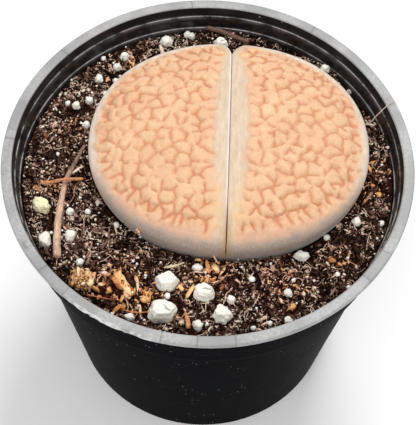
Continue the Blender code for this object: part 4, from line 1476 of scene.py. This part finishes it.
def build_straw(node, seed, material):
    """A straw: a torn slab as long as its CAD node and turned alike, slim and tapered."""
    lumps, slim = 0.12, 0.72
    axes, size = lie(node)
    points, faces = ball(4)
    wobble = Noise(seed)
    torn = wobble.layered(points * (0.7, 2.0, 2.0), (0.9, lumps), (0.4, 0.7 * lumps),
                          (0.2, 0.35 * lumps))
    shape = points * (1.0 + torn)[:, None]
    shape[:, 0] += 0.25 * wobble(points * (0.2, 3.0, 1.5), 1.0) * np.abs(points[:, 0])
    shape = filling(shape, -0.5 * size, 0.5 * size)
    shape[:, 1:] *= slim * (1.0 - 0.6 * np.abs(shape[:, :1]) / size[0])
    made = shape @ axes.T + 0.5 * sum(box_mm(node))
    new_piece(node + "_bark", "bark", node, material, made, [faces],
              {"along": 0.5 + shape[:, 0] / size[0]})


def build_torn(node, seed, material, count, length, slim, tilt, core, swing=0.0):
    """Torn bark: splinters heaped in the space of a CAD node, most of them along it."""
    rng = np.random.default_rng(seed)
    axes, size = lie(node)
    places = rng.uniform(-0.5, 0.5, (count, 3)) ** 3 * 4.0
    places = 0.55 * places + 0.3 * rng.uniform(-1.0, 1.0, (count, 3))
    long = length * rng.uniform(0.5, 1.0, count)
    wide = long * slim * rng.uniform(0.6, 1.6, count)
    sizes = 0.5 * xyz(long, wide, wide * rng.uniform(0.3, 0.8, count))
    turns = flat_turns(rng, count, tilt, swing)
    tones = rng.beta(1.4, 1.0, count)
    places[0], sizes[0], turns[0], tones[0] = 0.0, 0.42 * size, np.eye(3), core
    strewn(node + "_bark", "bark", node, material,
           *lumpy_balls(2, seed + 1, CLOD_KINDS, (0.8, 0.55)),
           rng.integers(0, CLOD_KINDS, count), axes @ turns, sizes, (places * size) @ axes.T,
           {"tone": tones})


def build_fluff(material):
    """Torn fibres standing off the fluffy lump of bark."""
    rng = np.random.default_rng(91)
    low, high = box_mm("bark_lump")
    count, sides = 70, 5
    out = rng.normal(size=(count, 3))
    out[:, 2] = np.abs(out[:, 2])
    spots = 0.5 * (low + high + unit(out) * (high - low) * rng.uniform(0.85, 1.0, (count, 1)))
    length = rng.uniform(0.4, 1.1, count)
    lines = fibre_lines(rng, spots, length, rng.normal(0.0, 0.5, count))
    radius = rng.uniform(0.03, 0.08, count)[:, None] * FLUFF_RADII
    tone = np.repeat(rng.random(count), lines.shape[1] * sides)
    new_piece("bark_lump_fluff", "bark", None, material, *tubes(lines, radius, sides),
              {"tone": np.append(tone, np.zeros(2 * count))})


# --- everything together ---
def build_mix():
    peat = peat_material()
    build_bed(peat)
    build_clods(peat)
    build_flakes("mix_flakes", peat, seed=31, count=9400, median=0.38, slim=0.32, tilt=0.6,
                 darkness=0.80)
    build_flakes("mix_shreds", peat, seed=33, count=2600, median=0.85, slim=0.10, tilt=0.4,
                 darkness=1.15)
    build_fibres(peat)
    build_strands(peat)
    build_skin_crumbs(peat)


def build_grains():
    white = perlite_material("perlite_white")
    stained = perlite_material("perlite_stained", dirt=0.8)
    special = {"perlite_10": perlite_material("perlite_cream", tint=(0.98, 0.88, 0.58), dirt=0.5),
               "perlite_21": stained, "perlite_18": stained}
    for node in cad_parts:
        if node.startswith("perlite_"):
            build_grain(node, special.get(node, white))
    build_fines(perlite_material("perlite_dust", tint=(1.0, 0.97, 0.90), depth=0.0))


def build_woody_bits():
    tan = wood_material("stem_tan", (0.13, 0.065, 0.045), (0.36, 0.22, 0.155), (1.0, 0.25, 1.0),
                        (0.96, 0.64, 0.45))
    rust = wood_material("stem_rust", (0.24, 0.075, 0.02), (0.95, 0.46, 0.20), (1.0, 1.0, 1.0))
    dark = wood_material("stem_dark", (0.05, 0.025, 0.018), (0.22, 0.11, 0.07), (0.3, 1.0, 1.0))
    straw = wood_material("straw_yellow", (0.74, 0.55, 0.27), (1.0, 0.92, 0.64), (1.5, 0.3, 1.0))
    husk = wood_material("husk_pale", (0.42, 0.28, 0.14), (0.95, 0.84, 0.62), (0.3, 2.5, 1.0))
    orange = bark_material("bark_orange", ORANGES)
    fluff = bark_material("bark_fluff", FLUFFS)
    build_chips(orange)
    build_stem("twig_long", 71, tan)
    build_stem("twig_cross", 72, rust)
    build_stem("twig_back", 73, dark)
    build_stem("husk_curved", 74, husk)
    build_stem("twig_orange", 75, rust)
    build_torn("bark_chip", 81, orange, count=30, length=3.0, slim=0.36, tilt=0.30, core=0.60,
               swing=0.35)
    build_torn("bark_lump", 82, fluff, count=130, length=2.1, slim=0.42, tilt=0.9, core=0.25)
    build_torn("bark_tan", 83, orange, count=26, length=1.5, slim=0.40, tilt=0.6, core=0.55)
    build_torn("husk_small", 84, fluff, count=12, length=1.2, slim=0.30, tilt=0.4, core=0.55,
               swing=0.5)
    build_straw("straw_upright", 85, straw)
    build_straw("straw_pale", 86, straw)
    build_fluff(fluff)


def main():
    add_camera()
    add_studio()
    build_pot()
    skin = leaf_material()
    build_leaf("leaf_left_skin", "leaf_left", LEFT, 7, skin)
    build_leaf("leaf_right_skin", "leaf_right", RIGHT, 8, skin)
    build_mix()
    build_grains()
    build_woody_bits()
    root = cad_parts["taproot"].data.materials
    root.clear()
    root.append(wood_material("root_brown", (0.16, 0.10, 0.06), (0.34, 0.23, 0.14),
                              (1.0, 1.0, 0.3)))


main()
